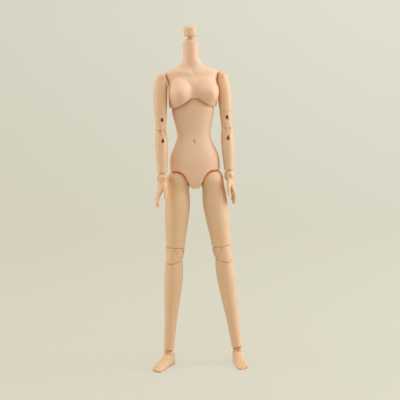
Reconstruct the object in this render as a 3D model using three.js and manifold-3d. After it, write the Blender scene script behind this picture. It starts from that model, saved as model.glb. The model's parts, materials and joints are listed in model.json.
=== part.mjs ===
// A jointed doll body without its head, about 235 mm tall to the top of the head plug.
// Millimetres, +Z up. The doll faces -Y, so its right side is at -X.
// Every piece is drawn in a straight standing position, left limbs at +X, and is then
// hung on a chain of joint groups that take the stored pose.
import * as THREE from 'three';
import { mergeVertices } from 'three/addons/utils/BufferGeometryUtils.js';
import Module from 'manifold-3d';

const wasm = await Module();
wasm.setup();

// Running clearances
const gap = 0.3;
const pinGap = 0.15;

// Facets round each kind of piece
const facets = { torso: 24, leg: 16, arm: 12, hand: 10, finger: 6, ball: 12, bore: 10, pin: 8 };

// Skeleton: lengths between joint centres
const ankleHeight = 8.6;
const shinLength = 67;
const kneeSpan = 6.8;
const thighLength = 48.7;
const hipHalfSpan = 11;
const torsoLength = 50.6;
const shoulderRise = 19.5;
const shoulderHalfSpan = 20.3;
const shoulderTilt = 15;
const armOffset = 1.7;
const swivelDrop = 23.9;
const elbowUpperDrop = 30.7;
const elbowSpan = 8.8;
const forearmLength = 28.2;
const neckRise = 42.9;

// Head end
const neckBallRadius = 3.6;
const neckCupWall = 0.5;
const neckStemRadius = 2.05;
const plugRadius = 4.55;
const plugLength = 7;
const plugLift = 4.5;
const plugStemReach = 5.2;
const plugBarbHeight = 1.2;
const neckRimRise = 1;

// Waist ball joint
const waistBallRadius = 4.2;
const waistSocketWall = 1.2;
const waistStemRadius = 1.9;
const waistStemLength = 13;
const waistFootRim = 0.7;
const waistFootHeight = 1.5;

// Covers and frames
const coverWall = 1.3;
const frameHalfThickness = 1.2;

// Hip
const hipHeadRadius = 8;
const hipHeadRound = 2.15;
const hipSocketRadius = 8.5;
const hipPegRadius = 1.2;
const hipEyeRadius = 2;
const hipPinRadius = 0.8;
const yokeEarThickness = 1.2;
const yokeStemRadius = 1.7;
const yokeStemLength = 12;
const thighTwistOut = 47;
const thighTwistIn = 2;

// Knee
const kneePinRadius = 0.9;
const kneeTongueHalf = 2.3;
const kneeTopRise = 2.3;
const kneeBottomRise = 1.9;
const kneeBack = 2.3;
const shinTopRise = 1.6;
const kneecapTopHalf = 2.8;
const kneecapWideHalf = 5.9;
const kneecapWideDrop = 4.6;
const kneecapTipDrop = 9;
const kneecapThickness = 1.1;
const kneecapBack = 3.3;

// Ankle and foot
const anklePinRadius = 0.6;
const ankleBallRadius = 2.4;
const ankleTrunnionRadius = 0.9;
const ankleTongueHalf = 0.8;
const anklePegRadius = 1.2;
const ankleStemLength = 9;
const footTopRise = 3.8;
const shinEndRise = 4.7;
const footLength = 31.6;
const heelReach = 8.6;

// Shoulder and arm
const shoulderPegRadius = 1.6;
const shoulderEyeRadius = 2.5;
const shoulderEyeHalf = 1.4;
const shoulderPinRadius = 1.2;
const armFaceReach = 2.3;
const armholeReach = armFaceReach + 0.5;
const elbowPinRadius = 0.7;
const elbowLinkHalf = 1.15;
const elbowLinkRadius = 1.9;
const elbowForward = 1.8;
const elbowSlotReach = 3.6;
const elbowGapRise = 4.1;
const elbowPinHalf = 3.15;
const swivelPegRadius = 1.7;
const swivelPegLength = 7;
const swivelHeadRim = 0.6;
const swivelHeadHeight = 1.6;

// Wrist and hand
const wristPegRadius = 1.2;
const wristEyeRadius = 1.7;
const wristEyeHalf = 0.9;
const wristPinRadius = 0.7;
const wristKnobRadius = 3.25;
const wristRise = 3.8;
const handOffset = 0.2;
const handLength = 19.8;
const palmLength = 10.2;

// Stored pose, in degrees
const pose = {
  chestTurn: 7,
  legLean: 2.4,
  armSwing: -5,
  right: { splay: 5.9, twist: 28, footYaw: 26.5, armRaise: 0.7, armTwist: -9, wristBend: 8 },
  left: { splay: 6.4, twist: 28, footYaw: 8, armRaise: 0.5, armTwist: 0, wristBend: 3 },
};

const rad = THREE.MathUtils.degToRad;
const X = new THREE.Vector3(1, 0, 0);
const Y = new THREE.Vector3(0, 1, 0);
const Z = new THREE.Vector3(0, 0, 1);
const at = (x, y, z) => new THREE.Vector3(x, y, z);

// Heights of the joint centres over the soles in the straight position
const kneeLowerHeight = ankleHeight + shinLength;
const kneeUpperHeight = kneeLowerHeight + kneeSpan;
const hipHeight = kneeUpperHeight + thighLength;
const waistHeight = hipHeight + torsoLength;
const shoulderHeight = waistHeight + shoulderRise;
const elbowUpperHeight = shoulderHeight - elbowUpperDrop;
const elbowLowerHeight = elbowUpperHeight - elbowSpan;
const wristHeight = elbowLowerHeight - forearmLength;
const neckBallHeight = waistHeight + neckRise;
const neckRimHeight = neckBallHeight + neckRimRise;

// Distances of the arm's and the hand's own axis from the middle of the body
const armX = shoulderHalfSpan + armOffset;
const handX = armX + handOffset;

const fromHip = (drop) => hipHeight - drop;
const fromKnee = (drop) => kneeLowerHeight - drop;
const overWaist = (rise) => waistHeight + rise;
const overShoulder = (rise) => shoulderHeight + rise;
const overElbow = (rise) => elbowLowerHeight + rise;
const upTorso = (share) => hipHeight + share * torsoLength;

// Surfaces

const vinyl = new THREE.MeshStandardMaterial({ color: 0xf0cdb2, roughness: 0.55, metalness: 0 });
const limb = new THREE.MeshStandardMaterial({ color: 0xe6c09a, roughness: 0.42, metalness: 0 });
const knob = new THREE.MeshStandardMaterial({ color: 0xedd0b0, roughness: 0.4, metalness: 0 });
const inner = new THREE.MeshStandardMaterial({ color: 0xdcb892, roughness: 0.5, metalness: 0 });

// Solid helpers: geometries come from three.js or a loft, and are joined or cut as solids.

function toSolid(geometry) {
  const bare = geometry.index ? geometry.toNonIndexed() : geometry.clone();
  bare.deleteAttribute('normal');
  bare.deleteAttribute('uv');
  const merged = mergeVertices(bare, 1e-4);
  const spot = merged.attributes.position;
  const triVerts = new Uint32Array(merged.index.array);
  const a = new THREE.Vector3();
  const b = new THREE.Vector3();
  const c = new THREE.Vector3();
  let volume = 0;
  for (let i = 0; i < triVerts.length; i += 3) {
    a.fromBufferAttribute(spot, triVerts[i]);
    b.fromBufferAttribute(spot, triVerts[i + 1]);
    c.fromBufferAttribute(spot, triVerts[i + 2]);
    volume += a.dot(b.cross(c));
  }
  if (volume < 0) {
    for (let i = 0; i < triVerts.length; i += 3) {
      [triVerts[i + 1], triVerts[i + 2]] = [triVerts[i + 2], triVerts[i + 1]];
    }
  }
  const vertProperties = new Float32Array(spot.array);
  return new wasm.Manifold(new wasm.Mesh({ numProp: 3, vertProperties, triVerts }));
}

function toGeometry(solid) {
  const mesh = solid.getMesh();
  const geometry = new THREE.BufferGeometry();
  geometry.setAttribute('position', new THREE.BufferAttribute(mesh.vertProperties, 3));
  geometry.setIndex(new THREE.BufferAttribute(mesh.triVerts, 1));
  return geometry;
}

const join = (first, ...rest) => rest.reduce((whole, piece) => whole.add(piece), first);
const cut = (first, ...rest) => rest.reduce((whole, piece) => whole.subtract(piece), first);
const overlap = (first, second) => first.intersect(second);

// A smooth curve through [place, value] knots, level at both ends.
function smooth(knots) {
  return (place) => {
    if (place <= knots[0][0]) return knots[0][1];
    const last = knots.length - 1;
    if (place >= knots[last][0]) return knots[last][1];
    let i = 0;
    while (place > knots[i + 1][0]) i += 1;
    const slope = (k) => {
      const low = Math.max(k - 1, 0);
      const high = Math.min(k + 1, last);
      return (knots[high][1] - knots[low][1]) / (knots[high][0] - knots[low][0]);
    };
    const span = knots[i + 1][0] - knots[i][0];
    const t = (place - knots[i][0]) / span;
    const rise = knots[i + 1][1] - knots[i][1];
    const start = slope(i) * span;
    const end = slope(i + 1) * span;
    const bend = 3 * rise - 2 * start - end;
    return knots[i][1] + t * (start + t * (bend + t * (start + end - 2 * rise)));
  };
}

// A closed loft through rings of equal count, each an array of Vector3.
function loft(rings) {
  const count = rings[0].length;
  const points = rings.flat();
  const faces = [];
  for (let r = 0; r + 1 < rings.length; r += 1) {
    for (let i = 0; i < count; i += 1) {
      const j = (i + 1) % count;
      const low = r * count;
      const high = low + count;
      faces.push(low + i, low + j, high + j, low + i, high + j, high + i);
    }
  }
  const middle = (ring) => ring.reduce((sum, p) => sum.add(p), at(0, 0, 0)).divideScalar(count);
  const bottom = points.push(middle(rings[0])) - 1;
  const top = points.push(middle(rings[rings.length - 1])) - 1;
  const lastRing = (rings.length - 1) * count;
  for (let i = 0; i < count; i += 1) {
    const j = (i + 1) % count;
    faces.push(bottom, j, i, top, lastRing + i, lastRing + j);
  }
  const geometry = new THREE.BufferGeometry().setFromPoints(points);
  geometry.setIndex(faces);
  return toSolid(geometry);
}

// One ring of a body section: left, right, front and back reaches round a centre.
function section({ x = 0, y = 0, z, out, inn = out, front, back = front, round = 2 }, count) {
  const ring = [];
  for (let i = 0; i < count; i += 1) {
    const turn = (2 * Math.PI * i) / count;
    const c = Math.cos(turn);
    const s = Math.sin(turn);
    const power = 2 / round;
    const across = Math.sign(c) * Math.abs(c) ** power * (c > 0 ? out : inn);
    const deep = Math.sign(s) * Math.abs(s) ** power * (s > 0 ? back : front);
    ring.push(at(x + across, y + deep, z));
  }
  return ring;
}

// A body lofted over even steps or given levels of z, its reaches given as knots or functions of z.
function bodyLoft({ from, to, steps, levels = null, count, shrink = 0, bump = null, ...reaches }) {
  const curves = {};
  for (const [name, value] of Object.entries(reaches)) {
    curves[name] = typeof value === 'function' ? value : smooth(value);
  }
  const rings = [];
  const heights = levels ?? Array.from({ length: steps + 1 }, (_, k) => from + ((to - from) * k) / steps);
  for (const z of heights) {
    const sizes = { z };
    for (const [name, curve] of Object.entries(curves)) sizes[name] = curve(z);
    for (const name of ['out', 'inn', 'front', 'back']) {
      if (name in sizes) sizes[name] -= shrink;
    }
    const ring = section(sizes, count);
    if (bump) ring.forEach((p) => bump(p));
    rings.push(ring);
  }
  return loft(rings);
}

// A solid turned round the Z axis from a [radius, z] profile that starts and ends on the axis.
function turned(profile, sides = facets.ball) {
  const points = profile.map(([r, z]) => new THREE.Vector2(r, z));
  const geometry = new THREE.LatheGeometry(points, sides);
  geometry.rotateX(Math.PI / 2);
  return toSolid(geometry);
}

function rod(radius, from, to, sides = facets.pin) {
  const along = to.clone().sub(from);
  const geometry = new THREE.CylinderGeometry(radius, radius, along.length(), sides);
  geometry.applyQuaternion(new THREE.Quaternion().setFromUnitVectors(Y, along.normalize()));
  const middle = from.clone().add(to).multiplyScalar(0.5);
  geometry.translate(middle.x, middle.y, middle.z);
  return toSolid(geometry);
}

function ball(radius, centre, sides = facets.ball) {
  const geometry = new THREE.SphereGeometry(radius, sides, sides / 2);
  geometry.rotateX(Math.PI / 2);
  geometry.translate(centre.x, centre.y, centre.z);
  return toSolid(geometry);
}

function block(low, high) {
  const size = high.clone().sub(low);
  const geometry = new THREE.BoxGeometry(size.x, size.y, size.z);
  geometry.translate((low.x + high.x) / 2, (low.y + high.y) / 2, (low.z + high.z) / 2);
  return toSolid(geometry);
}

// A shape as it is, or one through a list of [across, up] points.
function toShape(outline) {
  if (outline instanceof THREE.Shape) return outline;
  return new THREE.Shape(outline.map(([across, up]) => new THREE.Vector2(across, up)));
}

// A plate with an outline in X and Z, from one Y to another.
function frontPlate(outline, fromY, toY, curveSegments = 8) {
  const options = { depth: toY - fromY, bevelEnabled: false, curveSegments };
  const geometry = new THREE.ExtrudeGeometry(toShape(outline), options);
  geometry.rotateX(Math.PI / 2);
  geometry.translate(0, toY, 0);
  return toSolid(geometry);
}

// A plate with an outline in Y and Z, from one X to another.
function sidePlate(outline, fromX, toX) {
  const options = { depth: toX - fromX, bevelEnabled: false, curveSegments: 5 };
  const geometry = new THREE.ExtrudeGeometry(toShape(outline), options);
  geometry.rotateX(Math.PI / 2);
  geometry.rotateZ(Math.PI / 2);
  geometry.translate(fromX, 0, 0);
  return toSolid(geometry);
}

function moved(solid, matrix) {
  return toSolid(toGeometry(solid).applyMatrix4(matrix));
}

function turnedAbout(solid, centre, axis, degrees) {
  const matrix = new THREE.Matrix4()
    .makeTranslation(centre.x, centre.y, centre.z)
    .multiply(new THREE.Matrix4().makeRotationAxis(axis, rad(degrees)))
    .multiply(new THREE.Matrix4().makeTranslation(-centre.x, -centre.y, -centre.z));
  return moved(solid, matrix);
}

const mirrored = (solid) => moved(solid, new THREE.Matrix4().makeScale(-1, 1, 1));

// Joint groups: a group stands at its joint's centre, and pieces are placed from the
// straight position, so a turn of the group turns the piece about that centre.

function jointGroup(parent, name, centre) {
  const group = new THREE.Group();
  group.name = name;
  group.userData.centre = centre;
  group.position.copy(centre).sub(parent.userData.centre);
  parent.add(group);
  return group;
}

function place(group, name, solid, material) {
  const { centre } = group.userData;
  const geometry = toGeometry(solid).translate(-centre.x, -centre.y, -centre.z);
  geometry.computeVertexNormals();
  const mesh = new THREE.Mesh(geometry, material);
  mesh.name = name;
  group.add(mesh);
}

const turnBy = (group, axis, degrees) => group.quaternion.setFromAxisAngle(axis, rad(degrees));

// Torso shapes

// Knots up the torso are shares of its length from the hip centres to the waist joint.
const torsoReach = {
  out: [[-0.126, 13], [-0.008, 16.3], [0.11, 16.9], [0.23, 17.1], [0.348, 16.2], [0.476, 13.4], [0.605, 11.2],
    [0.743, 12], [0.822, 12.8], [0.94, 13.9], [1, 13.4], [1.06, 12.2], [1.128, 9.8], [1.158, 7.8]],
  front: [[-0.126, 6.5], [-0.008, 8.9], [0.15, 9.5], [0.348, 9.4], [0.486, 8.4], [0.625, 7.6], [0.783, 8.2],
    [0.94, 9.1], [1.02, 8.9], [1.08, 8.3], [1.128, 7], [1.158, 5.4]],
  back: [[-0.126, 7], [-0.008, 10.6], [0.11, 12.2], [0.23, 12], [0.348, 10.2], [0.486, 7.8], [0.625, 6.9],
    [0.783, 7.6], [0.94, 8.1], [1.02, 7.9], [1.08, 7.4], [1.128, 6.4], [1.158, 5]],
  round: [[-0.126, 2], [0.03, 2.2], [0.39, 2.1], [0.625, 2.1], [0.94, 2.1], [1.158, 2]],
};
for (const knots of Object.values(torsoReach)) {
  for (const knot of knots) {
    knot[0] = upTorso(knot[0]);
  }
}
const torsoLevels = [-0.126, -0.067, -0.008, 0.05, 0.11, 0.17, 0.23, 0.298, 0.368, 0.437, 0.506, 0.585, 0.684,
  0.783, 0.88, 0.96, 1.04, 1.11, 1.158].map(upTorso);
const torsoTop = torsoLevels[torsoLevels.length - 1];
const crotchBottom = fromHip(5.1);

const chestReach = {
  out: [[overWaist(-5), 15.2], [overWaist(-1), 15.4], [overWaist(2), 16.3], [overWaist(6), 16.8],
    [overWaist(10), 16.8], [overShoulder(-4.5), 16.6], [overShoulder(0.5), 17.6], [overShoulder(3.5), 18],
    [overShoulder(5.1), 15.4], [overShoulder(6.3), 12], [overShoulder(7.8), 8.9], [overShoulder(10.6), 6.3],
    [overShoulder(13.5), 5.35], [overShoulder(17.5), 5.15], [neckRimHeight, 5.15]],
  front: [[overWaist(-5), 9.9], [overWaist(-1), 10], [overWaist(5), 10.2], [overWaist(11), 9.9],
    [overShoulder(-3.5), 8.8], [overShoulder(0.5), 7.2], [overShoulder(3.5), 5.9], [overShoulder(6.3), 5],
    [overShoulder(8.5), 4.7], [overShoulder(11.5), 4.9], [overShoulder(17.5), 5.1], [neckRimHeight, 5.1]],
  back: [[overWaist(-5), 9.6], [overWaist(1), 9.7], [overWaist(9), 9.9], [overShoulder(-4.5), 9.4],
    [overShoulder(0.5), 8.2], [overShoulder(3.5), 7], [overShoulder(6.3), 6.3], [overShoulder(8.5), 5.8],
    [overShoulder(12.5), 5.2], [overShoulder(17.5), 5.1], [neckRimHeight, 5.1]],
  round: [[overWaist(-5), 2.1], [overWaist(9), 2.2], [overShoulder(-0.5), 2.2], [overShoulder(5.5), 2],
    [neckRimHeight, 2]],
};
const chestLevels = [-5, -1, 2, 5, 7.5, 10, 13].map(overWaist)
  .concat([-3.5, 0, 3, 4.7, 6.3, 8, 10.5, 13.5].map(overShoulder), neckRimHeight);
const bust = {
  across: 9.8,
  height: overWaist(9.6),
  halfWidth: 8.4,
  above: 10.5,
  below: 9.4,
  rise: 6.2,
  lean: 1.5,
};
const bustLimit = 16.8;
// Lower edge of the chest cover: distance from the middle and height
const hem = [[0, 6], [2.5, 5.4], [5, 3.9], [7.6, 2], [10.6, 0.4], [13, -0.3], [15.6, -0.8], [24, -0.8]]
  .map(([across, rise]) => [across, overWaist(rise)]);

// The two breasts push the front of the chest forward, their peaks a little outward.
function bustBump(p) {
  if (p.y > 0) return;
  const side = Math.sign(p.x) || 1;
  const u = (Math.abs(p.x) - bust.across) / bust.halfWidth;
  const v = (p.z - bust.height) / (p.z > bust.height ? bust.above : bust.below);
  const room = 1 - u * u - v * v;
  if (room <= 0) return;
  const swell = room ** 0.95;
  p.y -= bust.rise * swell;
  p.x += side * bust.lean * swell * (0.35 + 0.65 * Math.min(1, Math.abs(p.x) / bust.across));
  p.x = side * Math.min(Math.abs(p.x), bustLimit);
}

function shoulderCentre() {
  return at(shoulderHalfSpan, 0, shoulderHeight);
}

// Outward direction of the left shoulder's swing axis, sloping down.
const swingAxis = at(Math.cos(rad(shoulderTilt)), 0, -Math.sin(rad(shoulderTilt)));

// What is cut from the chest so that the arm swings clear: everything past a face square
// to the swing axis, near that axis.
function armholeCutter(radius, reach) {
  const centre = shoulderCentre();
  const from = centre.clone().addScaledVector(swingAxis, -reach);
  const to = centre.clone().addScaledVector(swingAxis, 14);
  return rod(radius, from, to, 20);
}

function hemCutter() {
  const line = smooth(hem);
  const outline = [];
  const reach = 24;
  const floor = overWaist(-31);
  for (let x = -reach; x <= reach; x += 1.5) outline.push([x, line(Math.abs(x))]);
  outline.push([reach, floor], [-reach, floor]);
  const side = line(reach);
  const behind = [[-reach, side], [-reach, floor], [reach, floor], [reach, side]];
  return join(frontPlate(outline, -24, 0), frontPlate(behind, -0.01, 24));
}

function chestCavity() {
  const bottom = overWaist(-11);
  const top = overWaist(17);
  return bodyLoft({
    from: bottom,
    to: top,
    steps: 5,
    count: 20,
    out: [[bottom, 14.8], [overWaist(-3), 14.8], [overWaist(3), 14.8], [overWaist(7), 14.2],
      [overWaist(12), 12.2], [top, 8]],
    front: [[bottom, 9.9], [overWaist(-1), 9.8], [overWaist(5), 9.5], [overWaist(10), 8.9], [top, 5.6]],
    back: [[bottom, 9.1], [overWaist(1), 9.1], [overWaist(7), 8.9], [overWaist(12), 8.4], [top, 6]],
    round: [[bottom, 2.1], [top, 2.1]],
  });
}

// The frame's block between the shoulders, whose top stays under the collar bones.
const chestBlock = { half: 5, deep: 4, bottom: overWaist(11), top: overShoulder(3.7) };
const clavicleRadius = 2.6;

// Everything on the chest side of the frame sits in this pocket of the cover.
function framePocket(extra) {
  const { half, deep, bottom, top } = chestBlock;
  const left = clavicle(clavicleRadius + extra);
  const low = at(-half - extra, -deep - extra, bottom - 2);
  const high = at(half + extra, deep + extra, top + extra);
  return join(block(low, high), left, mirrored(left));
}

function clavicle(radius) {
  const centre = shoulderCentre();
  const outer = centre.clone().addScaledVector(swingAxis, -5.4 + (radius - clavicleRadius));
  const innerEnd = centre.clone().addScaledVector(swingAxis, -19);
  return rod(radius, outer, innerEnd, facets.bore);
}

function neckBore(radius, from) {
  return rod(radius, at(0, 0, from), at(0, 0, neckRimHeight + 1), facets.ball);
}

const neckCupOuter = neckBallRadius + gap * 0.8 + neckCupWall;
const neckCupBottom = neckBallHeight - 10;

function makeChestCover() {
  const outer = bodyLoft({ levels: chestLevels, count: facets.torso, bump: bustBump, ...chestReach });
  const shoulder = armholeCutter(7, armholeReach);
  const peg = shoulderPegHole(shoulderPegRadius + gap);
  return cut(
    outer,
    hemCutter(),
    chestCavity(),
    framePocket(gap),
    shoulder,
    mirrored(shoulder),
    peg,
    mirrored(peg),
    neckBore(neckCupOuter + gap * 0.6, neckCupBottom - gap),
  );
}

function shoulderPegHole(radius) {
  const centre = shoulderCentre();
  return rod(radius, centre, centre.clone().addScaledVector(swingAxis, -13));
}

const waistSocketInner = waistBallRadius + gap;

function makeChestFrame() {
  const waist = at(0, 0, waistHeight);
  const { half, deep, bottom, top } = chestBlock;
  const left = clavicle(clavicleRadius);
  const body = join(
    block(at(-half, -deep, bottom), at(half, deep, top)),
    left,
    mirrored(left),
    rod(3.4, at(0, 0, waistHeight + 4), at(0, 0, bottom + 1)),
    ball(waistSocketInner + waistSocketWall, waist),
  );
  const peg = shoulderPegHole(shoulderPegRadius + pinGap);
  return cut(
    body,
    ball(waistSocketInner, waist),
    block(at(-9, -9, waistHeight - 9), at(9, 9, waistHeight - 1.6)),
    peg,
    mirrored(peg),
    neckBore(neckCupOuter + gap * 0.6, neckCupBottom - gap),
  );
}

function makeWaistBall() {
  const foot = at(0, 0, waistHeight - waistStemLength);
  const footTop = at(0, 0, foot.z + waistFootHeight);
  return join(
    ball(waistBallRadius, at(0, 0, waistHeight)),
    rod(waistStemRadius, foot, at(0, 0, waistHeight), facets.bore),
    rod(waistStemRadius + waistFootRim, foot, footTop, facets.bore),
  );
}

// The leg line seen from the front: from the hip's outer corner over the thigh to the crotch.
function legOpening() {
  const low = fromHip(12.4);
  const shape = new THREE.Shape();
  const spot = (out, rise) => [hipHalfSpan + out, hipHeight + rise];
  shape.moveTo(hipHalfSpan - 8.7, low);
  shape.lineTo(hipHalfSpan - 8.7, crotchBottom);
  shape.lineTo(...spot(-7.05, -2.7));
  shape.bezierCurveTo(...spot(-6, 0.1), ...spot(-5.4, 2.1), ...spot(-3.8, 4.5));
  shape.bezierCurveTo(...spot(-2.2, 6.6), ...spot(0, 7.5), ...spot(2, 7.3));
  shape.lineTo(...spot(19, 6.5));
  shape.lineTo(hipHalfSpan + 19, low);
  shape.closePath();
  return frontPlate(shape, -24, 24, 5);
}

function hipCentre() {
  return at(hipHalfSpan, 0, hipHeight);
}

// The frame's plate stands in a slot between the hips, under a saddle in the hollow of the cover.
const framePlate = { front: 3.8, back: 4.2, drop: 2.9 };
const saddle = { bottom: fromHip(-12.6), top: fromHip(-19.6) };
const cavityBottom = fromHip(-11.6);
const pelvisPostRadius = 4.2;
const torsoMouth = 6.4;

function makeTorsoCover() {
  const outer = bodyLoft({ levels: torsoLevels, count: facets.torso, ...torsoReach });
  const inside = { from: cavityBottom, to: torsoTop - 3.2, steps: 6, count: 18, shrink: coverWall };
  const cavity = bodyLoft({ ...inside, ...torsoReach });
  const opening = legOpening();
  const socket = ball(hipSocketRadius, hipCentre(), 16);
  const pegHole = rod(hipPegRadius + gap, at(-hipHalfSpan, 0, hipHeight), at(hipHalfSpan, 0, hipHeight));
  const plateSlot = block(
    at(-frameHalfThickness - gap, -framePlate.front - gap, fromHip(framePlate.drop) - gap),
    at(frameHalfThickness + gap, framePlate.back + gap, cavityBottom + 1),
  );
  return cut(
    outer,
    block(at(-20, -20, crotchBottom - 5), at(20, 20, crotchBottom)),
    opening,
    mirrored(opening),
    socket,
    mirrored(socket),
    cavity,
    plateSlot,
    pegHole,
    navel(),
    rod(torsoMouth, at(0, 0, torsoTop - 5), at(0, 0, torsoTop + 2), facets.bore),
  );
}

function navel() {
  const height = upTorso(0.532);
  const pit = new THREE.SphereGeometry(1, 8, 6).scale(0.8, 0.7, 1.3);
  return toSolid(pit.translate(0, -smooth(torsoReach.front)(height) - 0.4, height));
}

function makePelvisFrame() {
  const plate = block(
    at(-frameHalfThickness, -framePlate.front, fromHip(framePlate.drop)),
    at(frameHalfThickness, framePlate.back, saddle.bottom + 1),
  );
  const seat = bodyLoft({
    from: saddle.bottom,
    to: saddle.top,
    steps: 1,
    count: 18,
    out: [[saddle.bottom, 14.2], [saddle.top, 12.6]],
    front: [[saddle.bottom, 7.3], [saddle.top, 7]],
    back: [[saddle.bottom, 9], [saddle.top, 7.6]],
  });
  const stemBottom = waistHeight - waistStemLength;
  const postTop = waistHeight - 7;
  const post = rod(pelvisPostRadius, at(0, 0, saddle.top - 1), at(0, 0, postTop), facets.bore);
  const bore = rod(waistStemRadius + pinGap, at(0, 0, stemBottom - 1), at(0, 0, waistHeight), facets.bore);
  const footRadius = waistStemRadius + waistFootRim + pinGap;
  const footTop = stemBottom + waistFootHeight + gap;
  const foot = rod(footRadius, at(0, 0, stemBottom - gap), at(0, 0, footTop), facets.bore);
  const pegBore = rod(hipPegRadius + pinGap, at(-9, 0, hipHeight), at(9, 0, hipHeight));
  return cut(join(plate, seat, post), bore, foot, pegBore);
}

// Neck

function makeNeckCollar() {
  const cup = turned([[0, neckCupBottom], [neckCupOuter, neckCupBottom], [neckCupOuter, neckRimHeight + 0.2],
    [0, neckRimHeight + 0.2]], 18);
  const socket = ball(neckBallRadius + gap * 0.8, at(0, 0, neckBallHeight), 18);
  const mouth = rod(neckBallRadius + 0.1, at(0, 0, neckBallHeight), at(0, 0, neckRimHeight + 2), 18);
  const keyhole = block(at(-9, -0.7, neckRimHeight - 1.1), at(0, 0.7, neckRimHeight + 2));
  return cut(cup, socket, mouth, keyhole);
}

const plugBottom = neckBallHeight + plugLift;

function makeNeckLink() {
  const stemTop = plugBottom + plugStemReach;
  const barbFoot = stemTop - plugBarbHeight;
  const barb = [[0, barbFoot], [neckStemRadius + 0.5, barbFoot], [neckStemRadius, stemTop], [0, stemTop]];
  const body = join(
    ball(neckBallRadius, at(0, 0, neckBallHeight), facets.ball),
    rod(neckStemRadius, at(0, 0, neckBallHeight), at(0, 0, stemTop), facets.bore),
    turned(barb, facets.bore),
  );
  const split = block(at(-6, -0.35, neckBallHeight + 1.2), at(6, 0.35, neckBallHeight + 4.2));
  return cut(body, split);
}

function makeHeadPlug() {
  const top = plugBottom + plugLength;
  const soft = 0.8;
  const outline = [[0, plugBottom], [plugRadius - 0.4, plugBottom], [plugRadius, plugBottom + 0.4]];
  for (let k = 0; k <= 3; k += 1) {
    const turn = (Math.PI / 2) * (k / 3);
    outline.push([plugRadius - soft + soft * Math.cos(turn), top - soft + soft * Math.sin(turn)]);
  }
  outline.push([0, top]);
  const stemTop = plugBottom + plugStemReach;
  const barbFoot = stemTop - plugBarbHeight;
  return cut(
    turned(outline, 20),
    rod(neckStemRadius + pinGap, at(0, 0, plugBottom - 1), at(0, 0, stemTop + gap), facets.bore),
    rod(neckStemRadius + 0.5 + pinGap, at(0, 0, barbFoot - gap), at(0, 0, stemTop + gap), facets.bore),
  );
}

// Arm, left side

// The arm leans in a little towards the shoulder at its top.
const armReach = {
  x: [[elbowLowerHeight - 6, armX], [elbowUpperHeight, armX], [overShoulder(-12.5), armX - 0.2],
    [overShoulder(-6.5), armX - 0.7], [shoulderHeight, shoulderHalfSpan],
    [overShoulder(4.5), shoulderHalfSpan - 0.7]],
  out: [[elbowUpperHeight - 4.4, 3.6], [elbowUpperHeight + 0.2, 3.75], [overShoulder(-24.5), 4.2],
    [overShoulder(-18.5), 4.55], [overShoulder(-12.5), 4.75], [overShoulder(-7.5), 4.7],
    [overShoulder(-3.5), 4.45], [shoulderHeight, 4], [overShoulder(2.5), 2.6], [overShoulder(3.8), 1.2],
    [overShoulder(4.1), 0.5]],
  front: [[elbowUpperHeight - 4.4, 3.7], [elbowUpperHeight + 0.2, 3.8], [overShoulder(-24.5), 4.25],
    [overShoulder(-16.5), 4.6], [overShoulder(-10.5), 4.6], [overShoulder(-4.5), 4.4], [shoulderHeight, 3.9],
    [overShoulder(2.5), 2.7], [overShoulder(3.8), 1.3], [overShoulder(4.1), 0.6]],
};

function upperArmBody(from, to, steps) {
  return bodyLoft({ from, to, steps, count: facets.arm, ...armReach });
}

const swivelHeight = shoulderHeight - swivelDrop;

function makeUpperArm() {
  const centre = shoulderCentre();
  const body = upperArmBody(swivelHeight + 0.1, shoulderHeight + 4.1, 9);
  const facing = rod(9, centre.clone().addScaledVector(swingAxis, -armFaceReach - 8),
    centre.clone().addScaledVector(swingAxis, -armFaceReach), facets.ball);
  const slot = shoulderSlot();
  const pinHole = rod(shoulderPinRadius + pinGap, at(centre.x, -8, centre.z), at(centre.x, 8, centre.z));
  const room = gap * 0.6;
  const top = swivelHeight + swivelPegLength;
  const headFoot = top - swivelHeadHeight - 0.4;
  const bore = join(
    rod(swivelPegRadius + room, at(armX, 0, swivelHeight - 1), at(armX, 0, top)),
    rod(swivelPegRadius + swivelHeadRim + room, at(armX, 0, headFoot), at(armX, 0, top + gap)),
  );
  return cut(body, facing, slot, pinHole, bore);
}

// The slot for the shoulder peg and its eye, open towards the body and over the top.
function shoulderSlot() {
  const centre = shoulderCentre();
  const half = shoulderEyeHalf + gap;
  const reach = shoulderEyeRadius + gap;
  const eye = rod(reach, at(centre.x, -half, centre.z), at(centre.x, half, centre.z), facets.bore);
  const drop = rad(14);
  const corner = [
    [centre.x, centre.z - reach],
    [centre.x - 12, centre.z - reach - 12 * Math.tan(drop) + 3.4],
    [centre.x - 12, centre.z + 14],
    [centre.x + shoulderPegRadius + gap, centre.z + 14],
    [centre.x + shoulderPegRadius + gap, centre.z],
  ];
  return join(eye, frontPlate(corner, -half, half));
}

function makeShoulderPeg() {
  const centre = shoulderCentre();
  const innerEnd = centre.clone().addScaledVector(swingAxis, -12.6);
  const front = at(centre.x, -shoulderEyeHalf, centre.z);
  const back = at(centre.x, shoulderEyeHalf, centre.z);
  return cut(
    join(rod(shoulderPegRadius, centre, innerEnd), rod(shoulderEyeRadius, front, back, facets.bore)),
    rod(shoulderPinRadius + pinGap, at(centre.x, -8, centre.z), at(centre.x, 8, centre.z)),
    block(at(0, -9, shoulderHeight - 9), at(centre.x + 9, -shoulderEyeHalf, shoulderHeight + 9)),
    block(at(0, shoulderEyeHalf, shoulderHeight - 9), at(centre.x + 9, 9, shoulderHeight + 9)),
  );
}

function makeShoulderPin() {
  const centre = shoulderCentre();
  return rod(shoulderPinRadius, at(centre.x, -3.95, centre.z), at(centre.x, 3.95, centre.z));
}

const elbowSleeveBottom = elbowUpperHeight - elbowGapRise - 0.05;
const forearmTop = elbowLowerHeight + elbowGapRise;

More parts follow.
